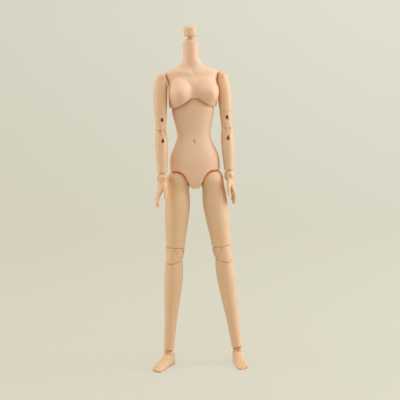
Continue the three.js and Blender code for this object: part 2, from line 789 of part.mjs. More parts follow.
// Slot for the elbow link: from one end of the arm piece to just past the pin, open in front.
function elbowSlot(pinHeight, way) {
  const half = elbowLinkHalf + gap;
  const back = -elbowForward + elbowLinkRadius + gap;
  const far = pinHeight + way * elbowSlotReach;
  const near = pinHeight - way * 8;
  return block(at(armX - half, -9, Math.min(far, near)), at(armX + half, back, Math.max(far, near)));
}

// Beside the slot the front opens in a V towards the gap.
function elbowFlare(pinHeight, way) {
  const gapHeight = pinHeight - way * elbowGapRise;
  const wide = 2.3;
  const outline = [
    [armX - elbowLinkHalf, pinHeight],
    [armX - wide, gapHeight - way * 2],
    [armX + wide, gapHeight - way * 2],
    [armX + elbowLinkHalf, pinHeight],
  ];
  return frontPlate(way > 0 ? outline : outline.reverse(), -9, -3.1);
}

function makeElbowSleeve() {
  const body = upperArmBody(elbowSleeveBottom, swivelHeight - 0.2, 3);
  const top = swivelHeight + swivelPegLength;
  const peg = join(
    rod(swivelPegRadius, at(armX, 0, swivelHeight - 1), at(armX, 0, top - gap)),
    rod(swivelPegRadius + swivelHeadRim, at(armX, 0, top - swivelHeadHeight), at(armX, 0, top - gap)),
  );
  const behindPeg = block(at(0, 0.5, swivelHeight - 2), at(2 * armX, 9, swivelHeight + 9));
  const slot = cut(elbowSlot(elbowUpperHeight, 1), behindPeg);
  return cut(join(body, peg), slot, elbowFlare(elbowUpperHeight, 1), elbowPinHole(elbowUpperHeight));
}

function elbowPinHole(height) {
  const left = at(armX - 8, -elbowForward, height);
  const right = at(armX + 8, -elbowForward, height);
  return rod(elbowPinRadius + pinGap, left, right);
}

function makeElbowPin(height) {
  const left = at(armX - elbowPinHalf, -elbowForward, height);
  const right = at(armX + elbowPinHalf, -elbowForward, height);
  return rod(elbowPinRadius, left, right);
}

function makeElbowLink() {
  const shape = new THREE.Shape();
  shape.absarc(-elbowForward, elbowUpperHeight, elbowLinkRadius, 0, Math.PI, false);
  shape.absarc(-elbowForward, elbowLowerHeight, elbowLinkRadius, Math.PI, 2 * Math.PI, false);
  shape.closePath();
  const plate = sidePlate(shape, armX - elbowLinkHalf, armX + elbowLinkHalf);
  return cut(plate, elbowPinHole(elbowUpperHeight), elbowPinHole(elbowLowerHeight));
}

const forearmReach = {
  x: [[wristHeight, handX], [elbowLowerHeight, armX]],
  out: [[wristHeight + wristRise, 3.4], [overElbow(-19), 3.65], [overElbow(-11), 4.15], [overElbow(-4), 4.3],
    [overElbow(1), 4], [forearmTop, 3.65]],
  front: [[wristHeight + wristRise, 3.2], [overElbow(-19), 3.5], [overElbow(-11), 4.1], [overElbow(-4), 4.2],
    [overElbow(1), 4], [forearmTop, 3.75]],
};
const forearmBottom = wristHeight + wristRise + 0.1;
const wristStemLength = 8;

function makeForearm() {
  const shape = { ...forearmReach, count: facets.arm };
  const body = bodyLoft({ from: forearmBottom, to: forearmTop, steps: 7, ...shape });
  const boreTop = forearmBottom + wristStemLength;
  const bore = rod(wristPegRadius + pinGap, at(handX, 0, wristHeight), at(handX, 0, boreTop));
  return cut(body, elbowSlot(elbowLowerHeight, -1), elbowFlare(elbowLowerHeight, -1),
    elbowPinHole(elbowLowerHeight), bore);
}

function makeWristPeg() {
  const centre = at(handX, 0, wristHeight);
  const front = at(handX, -wristEyeHalf, wristHeight);
  const back = at(handX, wristEyeHalf, wristHeight);
  const stemTop = at(handX, 0, forearmBottom + wristStemLength - gap);
  return cut(
    join(rod(wristPegRadius, centre, stemTop), rod(wristEyeRadius, front, back, facets.bore)),
    rod(wristPinRadius + pinGap, at(handX, -5, wristHeight), at(handX, 5, wristHeight)),
    block(at(handX - 5, -5, wristHeight - 5), at(handX + 5, -wristEyeHalf, wristHeight + 3)),
    block(at(handX - 5, wristEyeHalf, wristHeight - 5), at(handX + 5, 5, wristHeight + 3)),
  );
}

function makeWristPin() {
  return rod(wristPinRadius, at(handX, -3.05, wristHeight), at(handX, 3.05, wristHeight));
}

// A finger: a tapered tube along a curve with a rounded tip.
function finger(points, start, tip, count = facets.finger) {
  const path = new THREE.CatmullRomCurve3(points);
  const steps = 3;
  const rings = [];
  for (let k = 0; k <= steps; k += 1) {
    const t = k / steps;
    const centre = path.getPoint(t);
    const along = path.getTangent(t);
    const turn = new THREE.Quaternion().setFromUnitVectors(Z, along);
    const radius = start + (tip - start) * t;
    const ring = section({ z: 0, out: radius, front: radius }, count);
    rings.push(ring.map((p) => p.applyQuaternion(turn).add(centre)));
  }
  const end = path.getPoint(1);
  const along = path.getTangent(1);
  const turn = new THREE.Quaternion().setFromUnitVectors(Z, along);
  const small = section({ z: tip * 0.7, out: tip * 0.6, front: tip * 0.6 }, count);
  rings.push(small.map((p) => p.applyQuaternion(turn).add(end)));
  return loft(rings);
}

function makeHand() {
  const top = wristHeight;
  const knuckles = top - palmLength;
  const tipHeight = top - handLength;
  const palm = bodyLoft({
    from: knuckles,
    to: top + 1,
    steps: 4,
    count: facets.hand,
    x: [[knuckles, handX + 0.75], [top - 4, handX + 0.3], [top + 1, handX]],
    y: [[knuckles, -0.1], [top, 0]],
    out: [[knuckles, 1.45], [top - 6, 1.95], [top - 3, 2.3], [top + 1, 2.3]],
    front: [[knuckles, 4], [top - 6.5, 3.9], [top - 3, 3], [top + 1, 2.5]],
  });
  const pieces = [palm, ball(wristKnobRadius, at(handX, 0, wristHeight), 12)];
  const spread = [-2.95, -1, 0.95, 2.85];
  const shorter = [1.2, 0, 0.8, 2.8];
  spread.forEach((y, i) => {
    const end = tipHeight + shorter[i];
    const curl = handX + 1.5 - 0.15 * i;
    const knuckle = at(handX + 0.75, y, knuckles + 1.2);
    const middle = at(curl + 0.35, y * 1.02, (knuckles + end) / 2);
    pieces.push(finger([knuckle, middle, at(curl - 0.5, y * 1.04, end + 0.8)], 1.25, 0.8));
  });
  const thumbRoot = at(handX - 0.7, -1.9, top - 3.2);
  const thumbJoint = at(handX - 2.1, -4.1, top - 7.6);
  pieces.push(finger([thumbRoot, thumbJoint, at(handX - 2.5, -5.3, top - 12.4)], 1.8, 1, 8));
  const slotHalf = wristEyeHalf + 0.25;
  const slotFloor = wristHeight - wristEyeRadius - gap;
  const slot = block(at(handX - 6, -slotHalf, slotFloor), at(handX + 6, slotHalf, top + 6));
  const pinHole = rod(wristPinRadius + pinGap, at(handX, -6, wristHeight), at(handX, 6, wristHeight));
  return cut(join(...pieces), slot, pinHole);
}

// Leg, left side. Heights are measured from the hip centre or from the lower knee pin.

const thighBottom = kneeUpperHeight + kneeTopRise + gap;
const thighReach = {
  out: [[thighBottom, 6.35], [fromHip(38), 7.2], [fromHip(27), 8.3], [fromHip(18), 8.7], [fromHip(10), 8.5],
    [fromHip(5), 8], [fromHip(0), 7.6]],
  inn: [[thighBottom, 6.35], [fromHip(38), 7], [fromHip(27), 7.9], [fromHip(17), 8.2], [fromHip(12), 7.7],
    [fromHip(8.5), 7], [fromHip(5), 6.7], [fromHip(0), 6.9]],
  front: [[thighBottom, 6.9], [fromHip(38), 7.5], [fromHip(28), 8.3], [fromHip(19), 8.6], [fromHip(12), 8.2],
    [fromHip(7.5), 7.6], [fromHip(3), 7.5], [fromHip(0), 7.6]],
  back: [[thighBottom, 6.5], [fromHip(38), 6.9], [fromHip(28), 8], [fromHip(18), 9.1], [fromHip(10), 9],
    [fromHip(5), 8.1], [fromHip(0), 7.6]],
};

function makeThigh() {
  const shape = { ...thighReach, x: () => hipHalfSpan, count: facets.leg };
  const body = join(bodyLoft({ from: thighBottom, to: hipHeight, steps: 8, ...shape }), thighHead());
  const tongue = sidePlate(kneeTongueOutline(kneeUpperHeight, 1, 2.2), hipHalfSpan - kneeTongueHalf,
    hipHalfSpan + kneeTongueHalf);
  return cut(join(body, tongue), hipPocket(), kneePinHole(kneeUpperHeight));
}

// The thigh's head is turned about the hip's swing axis, a little fuller than a sphere.
function thighHead() {
  const profile = [];
  const steps = 8;
  for (let k = 0; k <= steps; k += 1) {
    const turn = (Math.PI * k) / steps;
    const across = Math.cos(turn);
    const power = 2 / hipHeadRound;
    const x = Math.sign(across) * Math.abs(across) ** power;
    const radius = k % steps === 0 ? 0 : Math.sin(turn) ** power;
    profile.push(new THREE.Vector2(hipHeadRadius * radius, -hipHeadRadius * x));
  }
  const geometry = new THREE.LatheGeometry(profile, 16);
  geometry.rotateZ(-Math.PI / 2);
  geometry.translate(hipHalfSpan, 0, hipHeight);
  return toSolid(geometry);
}

// A round eye on a short neck that runs up (way 1) or down (way -1).
function kneeTongueOutline(height, way, radius) {
  const shape = new THREE.Shape();
  const turn = way > 0 ? Math.PI : 0;
  shape.moveTo(way > 0 ? -radius : radius, height + way * 7);
  shape.absarc(0, height, radius, turn, turn + Math.PI, false);
  shape.lineTo(way > 0 ? radius : -radius, height + way * 7);
  shape.closePath();
  return shape;
}

function kneePinHole(height) {
  return rod(kneePinRadius + pinGap, at(hipHalfSpan - 9, 0, height), at(hipHalfSpan + 9, 0, height));
}

// Pocket for the yoke in the thigh's top, with a fan-shaped slot towards the pelvis that
// lets the peg through at any twist, and the bore for the yoke's stem.
function hipPocket() {
  const pivot = hipCentre();
  const floor = pivot.z - 4.6;
  const half = hipPegRadius + gap;
  const well = rod(4.1, at(pivot.x, 0, floor), at(pivot.x, 0, pivot.z + 12), facets.ball);
  const sweep = (thighTwistOut + thighTwistIn) / 3;
  const ways = [0, 1, 2, 3].map((k) => thighTwistOut - k * sweep);
  let fan = null;
  for (const way of ways) {
    const bar = block(at(pivot.x - 12, -half, pivot.z - half), at(pivot.x, half, pivot.z + 12));
    const turnedBar = turnedAbout(bar, pivot, Z, -way);
    fan = fan ? join(fan, turnedBar) : turnedBar;
  }
  const bore = rod(yokeStemRadius + pinGap, at(pivot.x, 0, floor - yokeStemLength), at(pivot.x, 0, pivot.z));
  return join(well, fan, bore);
}

function makeHipPeg() {
  const pivot = hipCentre();
  const half = hipPegRadius;
  const shaft = join(
    rod(hipPegRadius, at(0.2, 0, pivot.z), pivot),
    rod(hipEyeRadius, at(pivot.x, -half, pivot.z), at(pivot.x, half, pivot.z), facets.bore),
  );
  return cut(shaft, rod(hipPinRadius + pinGap, at(pivot.x, -5, pivot.z), at(pivot.x, 5, pivot.z)));
}

const yokeHalf = hipPegRadius + gap + yokeEarThickness;

function makeHipPin() {
  const pivot = hipCentre();
  return rod(hipPinRadius, at(pivot.x, -yokeHalf, pivot.z), at(pivot.x, yokeHalf, pivot.z));
}

function makeHipYoke() {
  const pivot = hipCentre();
  const floor = pivot.z - 4.6;
  const inside = hipPegRadius + gap;
  const clearRadius = hipEyeRadius + gap;
  const ears = overlap(
    block(at(pivot.x - 2, -yokeHalf, floor + gap), at(pivot.x + 2, yokeHalf, pivot.z + 1.9)),
    rod(3.7, at(pivot.x, 0, floor), at(pivot.x, 0, pivot.z + 4), facets.bore),
  );
  const stem = rod(yokeStemRadius, at(pivot.x, 0, floor - yokeStemLength + gap), at(pivot.x, 0, floor + 1));
  const mouth = block(at(pivot.x - 6, -inside, pivot.z - clearRadius), at(pivot.x + 6, inside, pivot.z + 6));
  const pinHole = rod(hipPinRadius + pinGap, at(pivot.x, -6, pivot.z), at(pivot.x, 6, pivot.z));
  return cut(join(ears, stem), mouth, pinHole);
}

// Knee

const kneeReach = {
  x: () => hipHalfSpan,
  out: [[kneeLowerHeight - 6, 6], [kneeLowerHeight + 1, 5.65], [kneeUpperHeight - 4, 5.7],
    [kneeUpperHeight + 3, 6.35]],
  front: [[kneeLowerHeight - 7, 6.7], [kneeLowerHeight, 7], [kneeUpperHeight + 3, 7]],
  back: [[kneeLowerHeight - 7, 7], [kneeLowerHeight, 6.6], [kneeUpperHeight + 3, 6.6]],
};

function kneeBody(shrink) {
  const from = kneeLowerHeight - 6;
  const to = kneeUpperHeight + 3;
  return bodyLoft({ from, to, steps: 2, count: facets.leg, shrink, ...kneeReach });
}

// The kneecap's outline from the front: narrow top, widening sides and a round lower edge.
function kneecapOutline(extra) {
  const top = kneeUpperHeight + kneeTopRise + extra;
  const wide = kneeUpperHeight - kneecapWideDrop;
  const tip = kneeUpperHeight - kneecapTipDrop - extra;
  const half = kneecapWideHalf + extra;
  const shape = new THREE.Shape();
  shape.moveTo(hipHalfSpan + kneecapTopHalf + extra, top);
  shape.lineTo(hipHalfSpan - kneecapTopHalf - extra, top);
  shape.lineTo(hipHalfSpan - half, wide + 0.6);
  shape.bezierCurveTo(hipHalfSpan - half - 0.2, wide - 2.2, hipHalfSpan - 3.4, tip, hipHalfSpan, tip);
  shape.bezierCurveTo(hipHalfSpan + 3.4, tip, hipHalfSpan + half + 0.2, wide - 2.2,
    hipHalfSpan + half, wide + 0.6);
  shape.closePath();
  return frontPlate(shape, -12, 1.3 * extra - kneecapBack, 6);
}

function makeKneecap() {
  return cut(overlap(kneeBody(0), kneecapOutline(0)), kneeBody(kneecapThickness));
}

// What the kneecap takes out of the pieces behind it, with room to move.
function kneecapRecess(room) {
  return cut(kneecapOutline(room), kneeBody(kneecapThickness + room));
}

function makeKneeBlock() {
  const upper = kneeUpperHeight;
  const lower = kneeLowerHeight;
  const shape = new THREE.Shape();
  shape.moveTo(-9, lower + kneeBottomRise);
  shape.lineTo(kneeBack, lower + kneeBottomRise);
  shape.lineTo(kneeBack, upper);
  shape.absarc(0, upper, kneeTopRise, 0, Math.PI / 2, false);
  shape.lineTo(-9, upper + kneeTopRise);
  shape.closePath();
  const cheeks = overlap(kneeBody(0), sidePlate(shape, hipHalfSpan - 9, hipHalfSpan + 9));
  const tongueHalf = kneeTongueHalf;
  const outline = kneeTongueOutline(lower, 1, 2);
  const tongue = sidePlate(outline, hipHalfSpan - tongueHalf, hipHalfSpan + tongueHalf);
  const slotHalf = kneeTongueHalf + 0.25;
  const slot = block(at(hipHalfSpan - slotHalf, -2.5, upper - 2.6), at(hipHalfSpan + slotHalf, 9, upper + 9));
  const lowTongue = cut(tongue, block(at(0, -9, upper - 4), at(4 * hipHalfSpan, 9, upper + 9)));
  const holes = join(kneePinHole(upper), kneePinHole(lower));
  return cut(join(cut(cheeks, slot), lowTongue), kneecapRecess(gap), holes);
}

function makeKneePin(height, reach) {
  return rod(kneePinRadius, at(hipHalfSpan - reach, 0, height), at(hipHalfSpan + reach, 0, height));
}

const shinBottom = ankleHeight + shinEndRise;
const shinReach = {
  out: [[shinBottom, 3.7], [fromKnee(49), 4.05], [fromKnee(38), 4.7], [fromKnee(28), 5.45],
    [fromKnee(14), 6.35], [fromKnee(5), 6.1], [fromKnee(-2), 5.6]],
  front: [[shinBottom, 3.6], [fromKnee(49), 4], [fromKnee(28), 5.3], [fromKnee(14), 6.3], [fromKnee(6), 6.6],
    [fromKnee(-2), 6.6]],
  back: [[shinBottom, 3.8], [fromKnee(49), 4.5], [fromKnee(30), 6.4], [fromKnee(16), 7.5], [fromKnee(8), 7.2],
    [fromKnee(0), 6.3], [fromKnee(-2), 6.2]],
};

function makeShin() {
  const top = kneeLowerHeight + shinTopRise;
  const shape = { ...shinReach, x: () => hipHalfSpan };
  const body = bodyLoft({ from: shinBottom, to: top, steps: 8, count: facets.leg, ...shape });
  const behind = new THREE.Shape();
  behind.moveTo(0, top + 1);
  behind.lineTo(0, top);
  behind.absarc(0, kneeLowerHeight, shinTopRise, Math.PI / 2, 0, true);
  behind.lineTo(1.9, kneeLowerHeight - 1.9);
  behind.lineTo(3.2, kneeLowerHeight - 2.4);
  behind.lineTo(9, kneeLowerHeight - 1.6);
  behind.lineTo(9, top + 1);
  behind.closePath();
  const slotHalf = kneeTongueHalf + 0.25;
  const slotFloor = kneeLowerHeight - 2.4;
  const slot = block(at(hipHalfSpan - slotHalf, -2.4, slotFloor), at(hipHalfSpan + slotHalf, 9, top + 2));
  const boreTop = shinBottom + ankleStemLength;
  const bore = rod(anklePegRadius + pinGap, at(hipHalfSpan, 0, shinBottom - 1), at(hipHalfSpan, 0, boreTop));
  return cut(body, sidePlate(behind, hipHalfSpan - 9, hipHalfSpan + 9), slot, kneecapRecess(gap + 0.2),
    kneePinHole(kneeLowerHeight), bore);
}

// Ankle: a peg that turns in the shin, a small ball that rolls on it, and the foot's fork.

function ankleSpot() {
  return at(hipHalfSpan, 0, ankleHeight);
}

function anklePinHole() {
  const spot = ankleSpot();
  return rod(anklePinRadius + pinGap, at(spot.x, -4, spot.z), at(spot.x, 4, spot.z));
}

function makeAnklePeg() {
  const spot = ankleSpot();
  const half = ankleTongueHalf;
  const tongue = rod(1.45, at(spot.x, -half, spot.z), at(spot.x, half, spot.z), facets.bore);
  const neck = block(at(spot.x - 1.1, -half, spot.z), at(spot.x + 1.1, half, spot.z + 3.2));
  const stemTop = shinBottom + ankleStemLength - gap;
  const stem = rod(anklePegRadius, at(spot.x, 0, spot.z + 2.75), at(spot.x, 0, stemTop));
  return cut(join(tongue, neck, stem), anklePinHole());
}

function makeAnklePin() {
  const spot = ankleSpot();
  return rod(anklePinRadius, at(spot.x, -2.2, spot.z), at(spot.x, 2.2, spot.z));
}

function makeAnkleBall() {
  const spot = ankleSpot();
  const reach = 3.2;
  const body = join(
    ball(ankleBallRadius, spot, 12),
    rod(ankleTrunnionRadius, at(spot.x - reach, 0, spot.z), at(spot.x + reach, 0, spot.z)),
  );
  const half = ankleTongueHalf + 0.2;
  const slot = block(at(spot.x - 1.7, -half, spot.z - 1.7), at(spot.x + 1.7, half, spot.z + 4));
  return cut(body, slot, anklePinHole());
}

// The foot runs forward from the ankle: stations along the sole.
function makeFoot() {
  const spot = ankleSpot();
  const toe = heelReach - footLength;
  const stations = [
    { y: heelReach, half: 1.7, top: 6, low: 1.4 },
    { y: heelReach - 0.7, half: 2.7, top: 8, low: 0.8 },
    { y: heelReach - 2.6, half: 3.5, top: 11, low: 0.6 },
    { y: 1.8, half: 3.8, top: 13.4, low: 0.6 },
    { y: -2.4, half: 3.85, top: 13, low: 0.6 },
    { y: -5.2, half: 3.85, top: 10.4, low: 0.6 },
    { y: -10, half: 4.0, top: 7.2, low: 0.6 },
    { y: -15.5, half: 4.35, top: 4.9, low: 0.6 },
    { y: toe + 3.6, half: 4.4, top: 3.8, low: 0.6 },
    { y: toe + 1.2, half: 3.85, top: 3.1, low: 0.6 },
    { y: toe + 0.3, half: 3.1, top: 2.6, low: 0.9 },
    { y: toe, half: 2.4, top: 2, low: 1.2 },
  ];
  const count = 16;
  const rings = stations.map(({ y, half, top, low }) => {
    const middle = Math.max(low + 0.4, 1.6);
    const ring = [];
    for (let i = 0; i < count; i += 1) {
      const turn = (2 * Math.PI * i) / count;
      const c = Math.cos(turn);
      const s = Math.sin(turn);
      const boxy = 2 / 2.3;
      const across = Math.sign(c) * Math.abs(c) ** boxy * half;
      const up = s > 0 ? s ** boxy * (top - middle) : -((-s) ** 0.7) * (middle - low + 1);
      // the big toe is on the inner side, so the toes run back towards the outer side
      const slant = y < -14 ? (across / half) * 1.5 * ((-14 - y) / 9) : 0;
      ring.push(at(spot.x + across, y + slant, middle + up));
    }
    return ring;
  });
  const body = loft(rings);
  const ankleTop = spot.z + footTopRise;
  const room = ankleBallRadius + gap;
  const notchHalf = 2.15;
  const back = new THREE.Shape();
  back.moveTo(2.2, ankleTop);
  back.lineTo(12, ankleTop - 3.2);
  back.lineTo(12, ankleTop + 9);
  back.lineTo(2.2, ankleTop + 9);
  back.closePath();
  return cut(
    body,
    block(at(spot.x - 20, -40, -9), at(spot.x + 20, 40, 0)),
    block(at(spot.x - 20, -40, ankleTop), at(spot.x + 20, 40, ankleTop + 12)),
    sidePlate(back, spot.x - 20, spot.x + 20),
    ball(room, spot, 10),
    rod(ankleTrunnionRadius + pinGap, at(spot.x - 3.35, 0, spot.z), at(spot.x + 3.35, 0, spot.z)),
    block(at(spot.x - notchHalf, -9, spot.z + 1.5), at(spot.x + notchHalf, 9, spot.z + 9)),
    block(at(spot.x - notchHalf, -1.6, spot.z), at(spot.x + notchHalf, 3, spot.z + 9)),
  );
}

// Assembly

const doll = new THREE.Group();
doll.name = 'jointed_doll';
doll.userData.centre = at(0, 0, 0);

const pelvis = jointGroup(doll, 'pelvis', at(0, 0, hipHeight));
place(pelvis, 'pelvis_frame', makePelvisFrame(), inner);
place(pelvis, 'torso_cover', makeTorsoCover(), vinyl);

const waistCentre = at(0, 0, waistHeight);
const waistTurn = jointGroup(pelvis, 'waist_turn', waistCentre);
place(waistTurn, 'waist_ball', makeWaistBall(), inner);
const waistBend = jointGroup(waistTurn, 'waist_bend', waistCentre);
place(waistBend, 'chest_frame', makeChestFrame(), inner);
place(waistBend, 'chest_cover', makeChestCover(), vinyl);
turnBy(waistTurn, Z, pose.chestTurn);

const neckCentre = at(0, 0, neckBallHeight);
const neckTurn = jointGroup(waistBend, 'neck_turn', neckCentre);
place(neckTurn, 'neck_collar', makeNeckCollar(), knob);
const neckNod = jointGroup(neckTurn, 'neck_nod', neckCentre);
place(neckNod, 'neck_link', makeNeckLink(), knob);
const headTurn = jointGroup(neckNod, 'head_turn', neckCentre);
place(headTurn, 'head_plug', makeHeadPlug(), knob);

// Limb pieces are made once, for the left side, and mirrored for the right.
const armPieces = {
  shoulder_peg: makeShoulderPeg(),
  upper_arm: makeUpperArm(),
  shoulder_pin: makeShoulderPin(),
  elbow_sleeve: makeElbowSleeve(),
  elbow_upper_pin: makeElbowPin(elbowUpperHeight),
  elbow_link: makeElbowLink(),
  forearm: makeForearm(),
  elbow_lower_pin: makeElbowPin(elbowLowerHeight),
  wrist_peg: makeWristPeg(),
  hand: makeHand(),
  wrist_pin: makeWristPin(),
};

const legPieces = {
  hip_peg: makeHipPeg(),
  hip_yoke: makeHipYoke(),
  hip_pin: makeHipPin(),
  thigh: makeThigh(),
  knee_block: makeKneeBlock(),
  kneecap: makeKneecap(),
  knee_upper_pin: makeKneePin(kneeUpperHeight, 5.7),
  shin: makeShin(),
  knee_lower_pin: makeKneePin(kneeLowerHeight, 5.3),
  ankle_peg: makeAnklePeg(),
  ankle_ball: makeAnkleBall(),
  ankle_pin: makeAnklePin(),
  foot: makeFoot(),
};

// Which pieces each joint group carries, in order from the body outwards.
const armChain = [
  { joint: 'shoulder_swing', centre: shoulderCentre(), pieces: { shoulder_peg: inner } },
  { joint: 'shoulder_raise', centre: shoulderCentre(), pieces: { upper_arm: limb, shoulder_pin: knob } },
  {
    joint: 'arm_twist',
    centre: at(armX, 0, swivelHeight),
    pieces: { elbow_sleeve: limb, elbow_upper_pin: knob },
  },
  { joint: 'elbow_upper', centre: at(armX, -elbowForward, elbowUpperHeight), pieces: { elbow_link: knob } },
  {
    joint: 'elbow_lower',
    centre: at(armX, -elbowForward, elbowLowerHeight),
    pieces: { forearm: limb, elbow_lower_pin: knob },
  },
  { joint: 'wrist_turn', centre: at(handX, 0, wristHeight), pieces: { wrist_peg: inner } },
  { joint: 'wrist_bend', centre: at(handX, 0, wristHeight), pieces: { hand: limb, wrist_pin: knob } },
];

const legChain = [
  { joint: 'hip_swing', centre: hipCentre(), pieces: { hip_peg: inner } },
  { joint: 'hip_spread', centre: hipCentre(), pieces: { hip_yoke: inner, hip_pin: inner } },
  { joint: 'thigh_twist', centre: hipCentre(), pieces: { thigh: limb } },
  {
    joint: 'knee_upper',
    centre: at(hipHalfSpan, 0, kneeUpperHeight),
    pieces: { knee_block: limb, kneecap: limb, knee_upper_pin: knob },
  },
  {
    joint: 'knee_lower',
    centre: at(hipHalfSpan, 0, kneeLowerHeight),
    pieces: { shin: limb, knee_lower_pin: knob },
  },
  { joint: 'ankle_turn', centre: ankleSpot(), pieces: { ankle_peg: inner } },
  { joint: 'ankle_roll', centre: ankleSpot(), pieces: { ankle_ball: inner, ankle_pin: inner } },
  { joint: 'ankle_flex', centre: ankleSpot(), pieces: { foot: limb } },
];

function buildChain(root, side, chain, pieces) {
  const joints = {};
  let parent = root;
  for (const link of chain) {
    const centre = link.centre.clone();
    if (side === 'right') centre.x *= -1;
    parent = jointGroup(parent, `${side}_${link.joint}`, centre);
    joints[link.joint] = parent;
    for (const [name, material] of Object.entries(link.pieces)) {
      const solid = side === 'right' ? mirrored(pieces[name]) : pieces[name];
      place(parent, `${side}_${name}`, solid, material);
    }
  }
  return joints;
}

// Hip height over the floor for a leg at this splay, leaning back a little to the heel.
function legDrop(splay) {
  const length = thighLength + kneeSpan + shinLength;
  return length * Math.cos(rad(splay)) * Math.cos(rad(pose.legLean)) + ankleHeight;
}

const rightDrop = legDrop(pose.right.splay);
const leftDrop = legDrop(pose.left.splay);
const pelvisRoll = Math.asin((rightDrop - leftDrop) / (2 * hipHalfSpan));
pelvis.rotation.y = pelvisRoll;
pelvis.position.z = (rightDrop + leftDrop) / 2;

for (const side of ['right', 'left']) {
  const out = side === 'left' ? 1 : -1;
  const turns = pose[side];
  const arm = buildChain(waistBend, side, armChain, armPieces);
  turnBy(arm.shoulder_swing, at(swingAxis.x, 0, out * swingAxis.z), pose.armSwing);
  turnBy(arm.shoulder_raise, Y, -out * turns.armRaise);
  turnBy(arm.arm_twist, Z, out * turns.armTwist);
  turnBy(arm.wrist_bend, Y, -out * turns.wristBend);

  const leg = buildChain(pelvis, side, legChain, legPieces);
  turnBy(leg.hip_swing, X, pose.legLean);
  turnBy(leg.hip_spread, Y, -out * turns.splay - THREE.MathUtils.radToDeg(pelvisRoll));
  turnBy(leg.thigh_twist, Z, out * turns.twist);

  // The ankle's three turns bring the sole level and point the toes.
  doll.updateMatrixWorld(true);
  const shinTurn = leg.knee_lower.getWorldQuaternion(new THREE.Quaternion()).invert();
  const wanted = new THREE.Quaternion().setFromAxisAngle(Z, rad(out * turns.footYaw));
  const ankle = new THREE.Euler().setFromQuaternion(shinTurn.multiply(wanted), 'ZYX');
  leg.ankle_turn.rotation.z = ankle.z;
  leg.ankle_roll.rotation.y = ankle.y;
  leg.ankle_flex.rotation.x = ankle.x;
}

// The frame's origin is on the floor under the middle of the doll's box.
doll.updateMatrixWorld(true);
const reach = new THREE.Box3().setFromObject(doll, true);
doll.position.set(-(reach.min.x + reach.max.x) / 2, -(reach.min.y + reach.max.y) / 2, 0);

export default doll;
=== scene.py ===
import json
import math

import bmesh
import bpy
from mathutils import Matrix, Vector
from mathutils.geometry import interpolate_bezier


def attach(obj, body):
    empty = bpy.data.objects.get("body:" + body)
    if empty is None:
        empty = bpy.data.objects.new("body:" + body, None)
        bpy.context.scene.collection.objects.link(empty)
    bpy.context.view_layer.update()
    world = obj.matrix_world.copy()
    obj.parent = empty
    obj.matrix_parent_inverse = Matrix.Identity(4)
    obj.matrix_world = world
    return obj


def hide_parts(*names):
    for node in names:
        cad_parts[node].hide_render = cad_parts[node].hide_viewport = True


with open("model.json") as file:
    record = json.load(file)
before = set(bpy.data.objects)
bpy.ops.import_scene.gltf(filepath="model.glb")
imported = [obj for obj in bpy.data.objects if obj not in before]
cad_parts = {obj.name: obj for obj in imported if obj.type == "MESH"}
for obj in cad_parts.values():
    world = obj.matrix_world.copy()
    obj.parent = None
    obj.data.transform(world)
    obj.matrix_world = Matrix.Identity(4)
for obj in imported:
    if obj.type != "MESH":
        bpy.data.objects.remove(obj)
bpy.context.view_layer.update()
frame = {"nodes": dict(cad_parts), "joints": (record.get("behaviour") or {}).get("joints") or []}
joints = {joint["name"]: joint for joint in frame["joints"]}
mm = 0.001
print("frame loaded:", len(frame["nodes"]), "nodes")

# Finding the joints

def spotOf(name):
    return Vector(joints[name]["pos_m"])


def axisOf(name, towards):
    axis = Vector(joints[name]["axis"]).normalized()
    return axis if axis.dot(Vector(towards)) > 0 else -axis


def spanOf(first, second):
    return (spotOf(first) - spotOf(second)).length / mm


def seatAt(centre, up, outward):
    up = up.normalized()
    outward = (outward - up * outward.dot(up)).normalized()
    back = up.cross(outward)
    if back.y < 0:
        back = -back  # the right side is the left one mirrored
    turn = Matrix((outward, back, up)).transposed().to_4x4()
    return Matrix.Translation(centre) @ turn @ Matrix.Scale(mm, 4)


# Curves and lofts

def curveThrough(knots):
    # a smooth curve through (place, value) knots, level at both ends
    if not isinstance(knots, (list, tuple)):
        return lambda place: knots
    last = len(knots) - 1

    def slope(k):
        low, high = max(k - 1, 0), min(k + 1, last)
        return (knots[high][1] - knots[low][1]) / (knots[high][0] - knots[low][0])

    def value(place):
        if place <= knots[0][0]:
            return knots[0][1]
        if place >= knots[last][0]:
            return knots[last][1]
        i = 0
        while place > knots[i + 1][0]:
            i += 1
        span = knots[i + 1][0] - knots[i][0]
        t = (place - knots[i][0]) / span
        rise = knots[i + 1][1] - knots[i][1]
        start, end = slope(i) * span, slope(i + 1) * span
        return knots[i][1] + t * (start + t * (3 * rise - 2 * start - end + t * (start + end - 2 * rise)))

    return value


def curvesOf(sizes):
    return {name: curveThrough(knots) for name, knots in sizes.items()}


def skinOf(shape, *names):
    return curvesOf({name: shape[name] for name in names})


def evenSteps(low, high, step):
    count = max(1, round(abs(high - low) / step))
    return [low + (high - low) * k / count for k in range(count + 1)]


def ringsAlong(curves, low, high, step, lipLow=0, lipHigh=0):
    # rings of a loft as (curves, height, shrink), with a rounded lip at either end
    way = 1 if high > low else -1

    def lip(end, inwards, size):
        turns = [math.pi / 8 * k for k in range(4)] if size else []
        return [(curves, end + inwards * size * (1 - math.cos(t)), size * (1 - math.sin(t))) for t in turns]

    body = [(curves, z, 0) for z in evenSteps(low + way * lipLow, high - way * lipHigh, step)]
    return lip(low, way, lipLow) + body + lip(high, -way, lipHigh)[::-1]


def vertsIn(parts):
    return [part for part in parts if isinstance(part, bmesh.types.BMVert)]


def facingOut(mesh):
    bmesh.ops.recalc_face_normals(mesh, faces=mesh.faces)
    return mesh


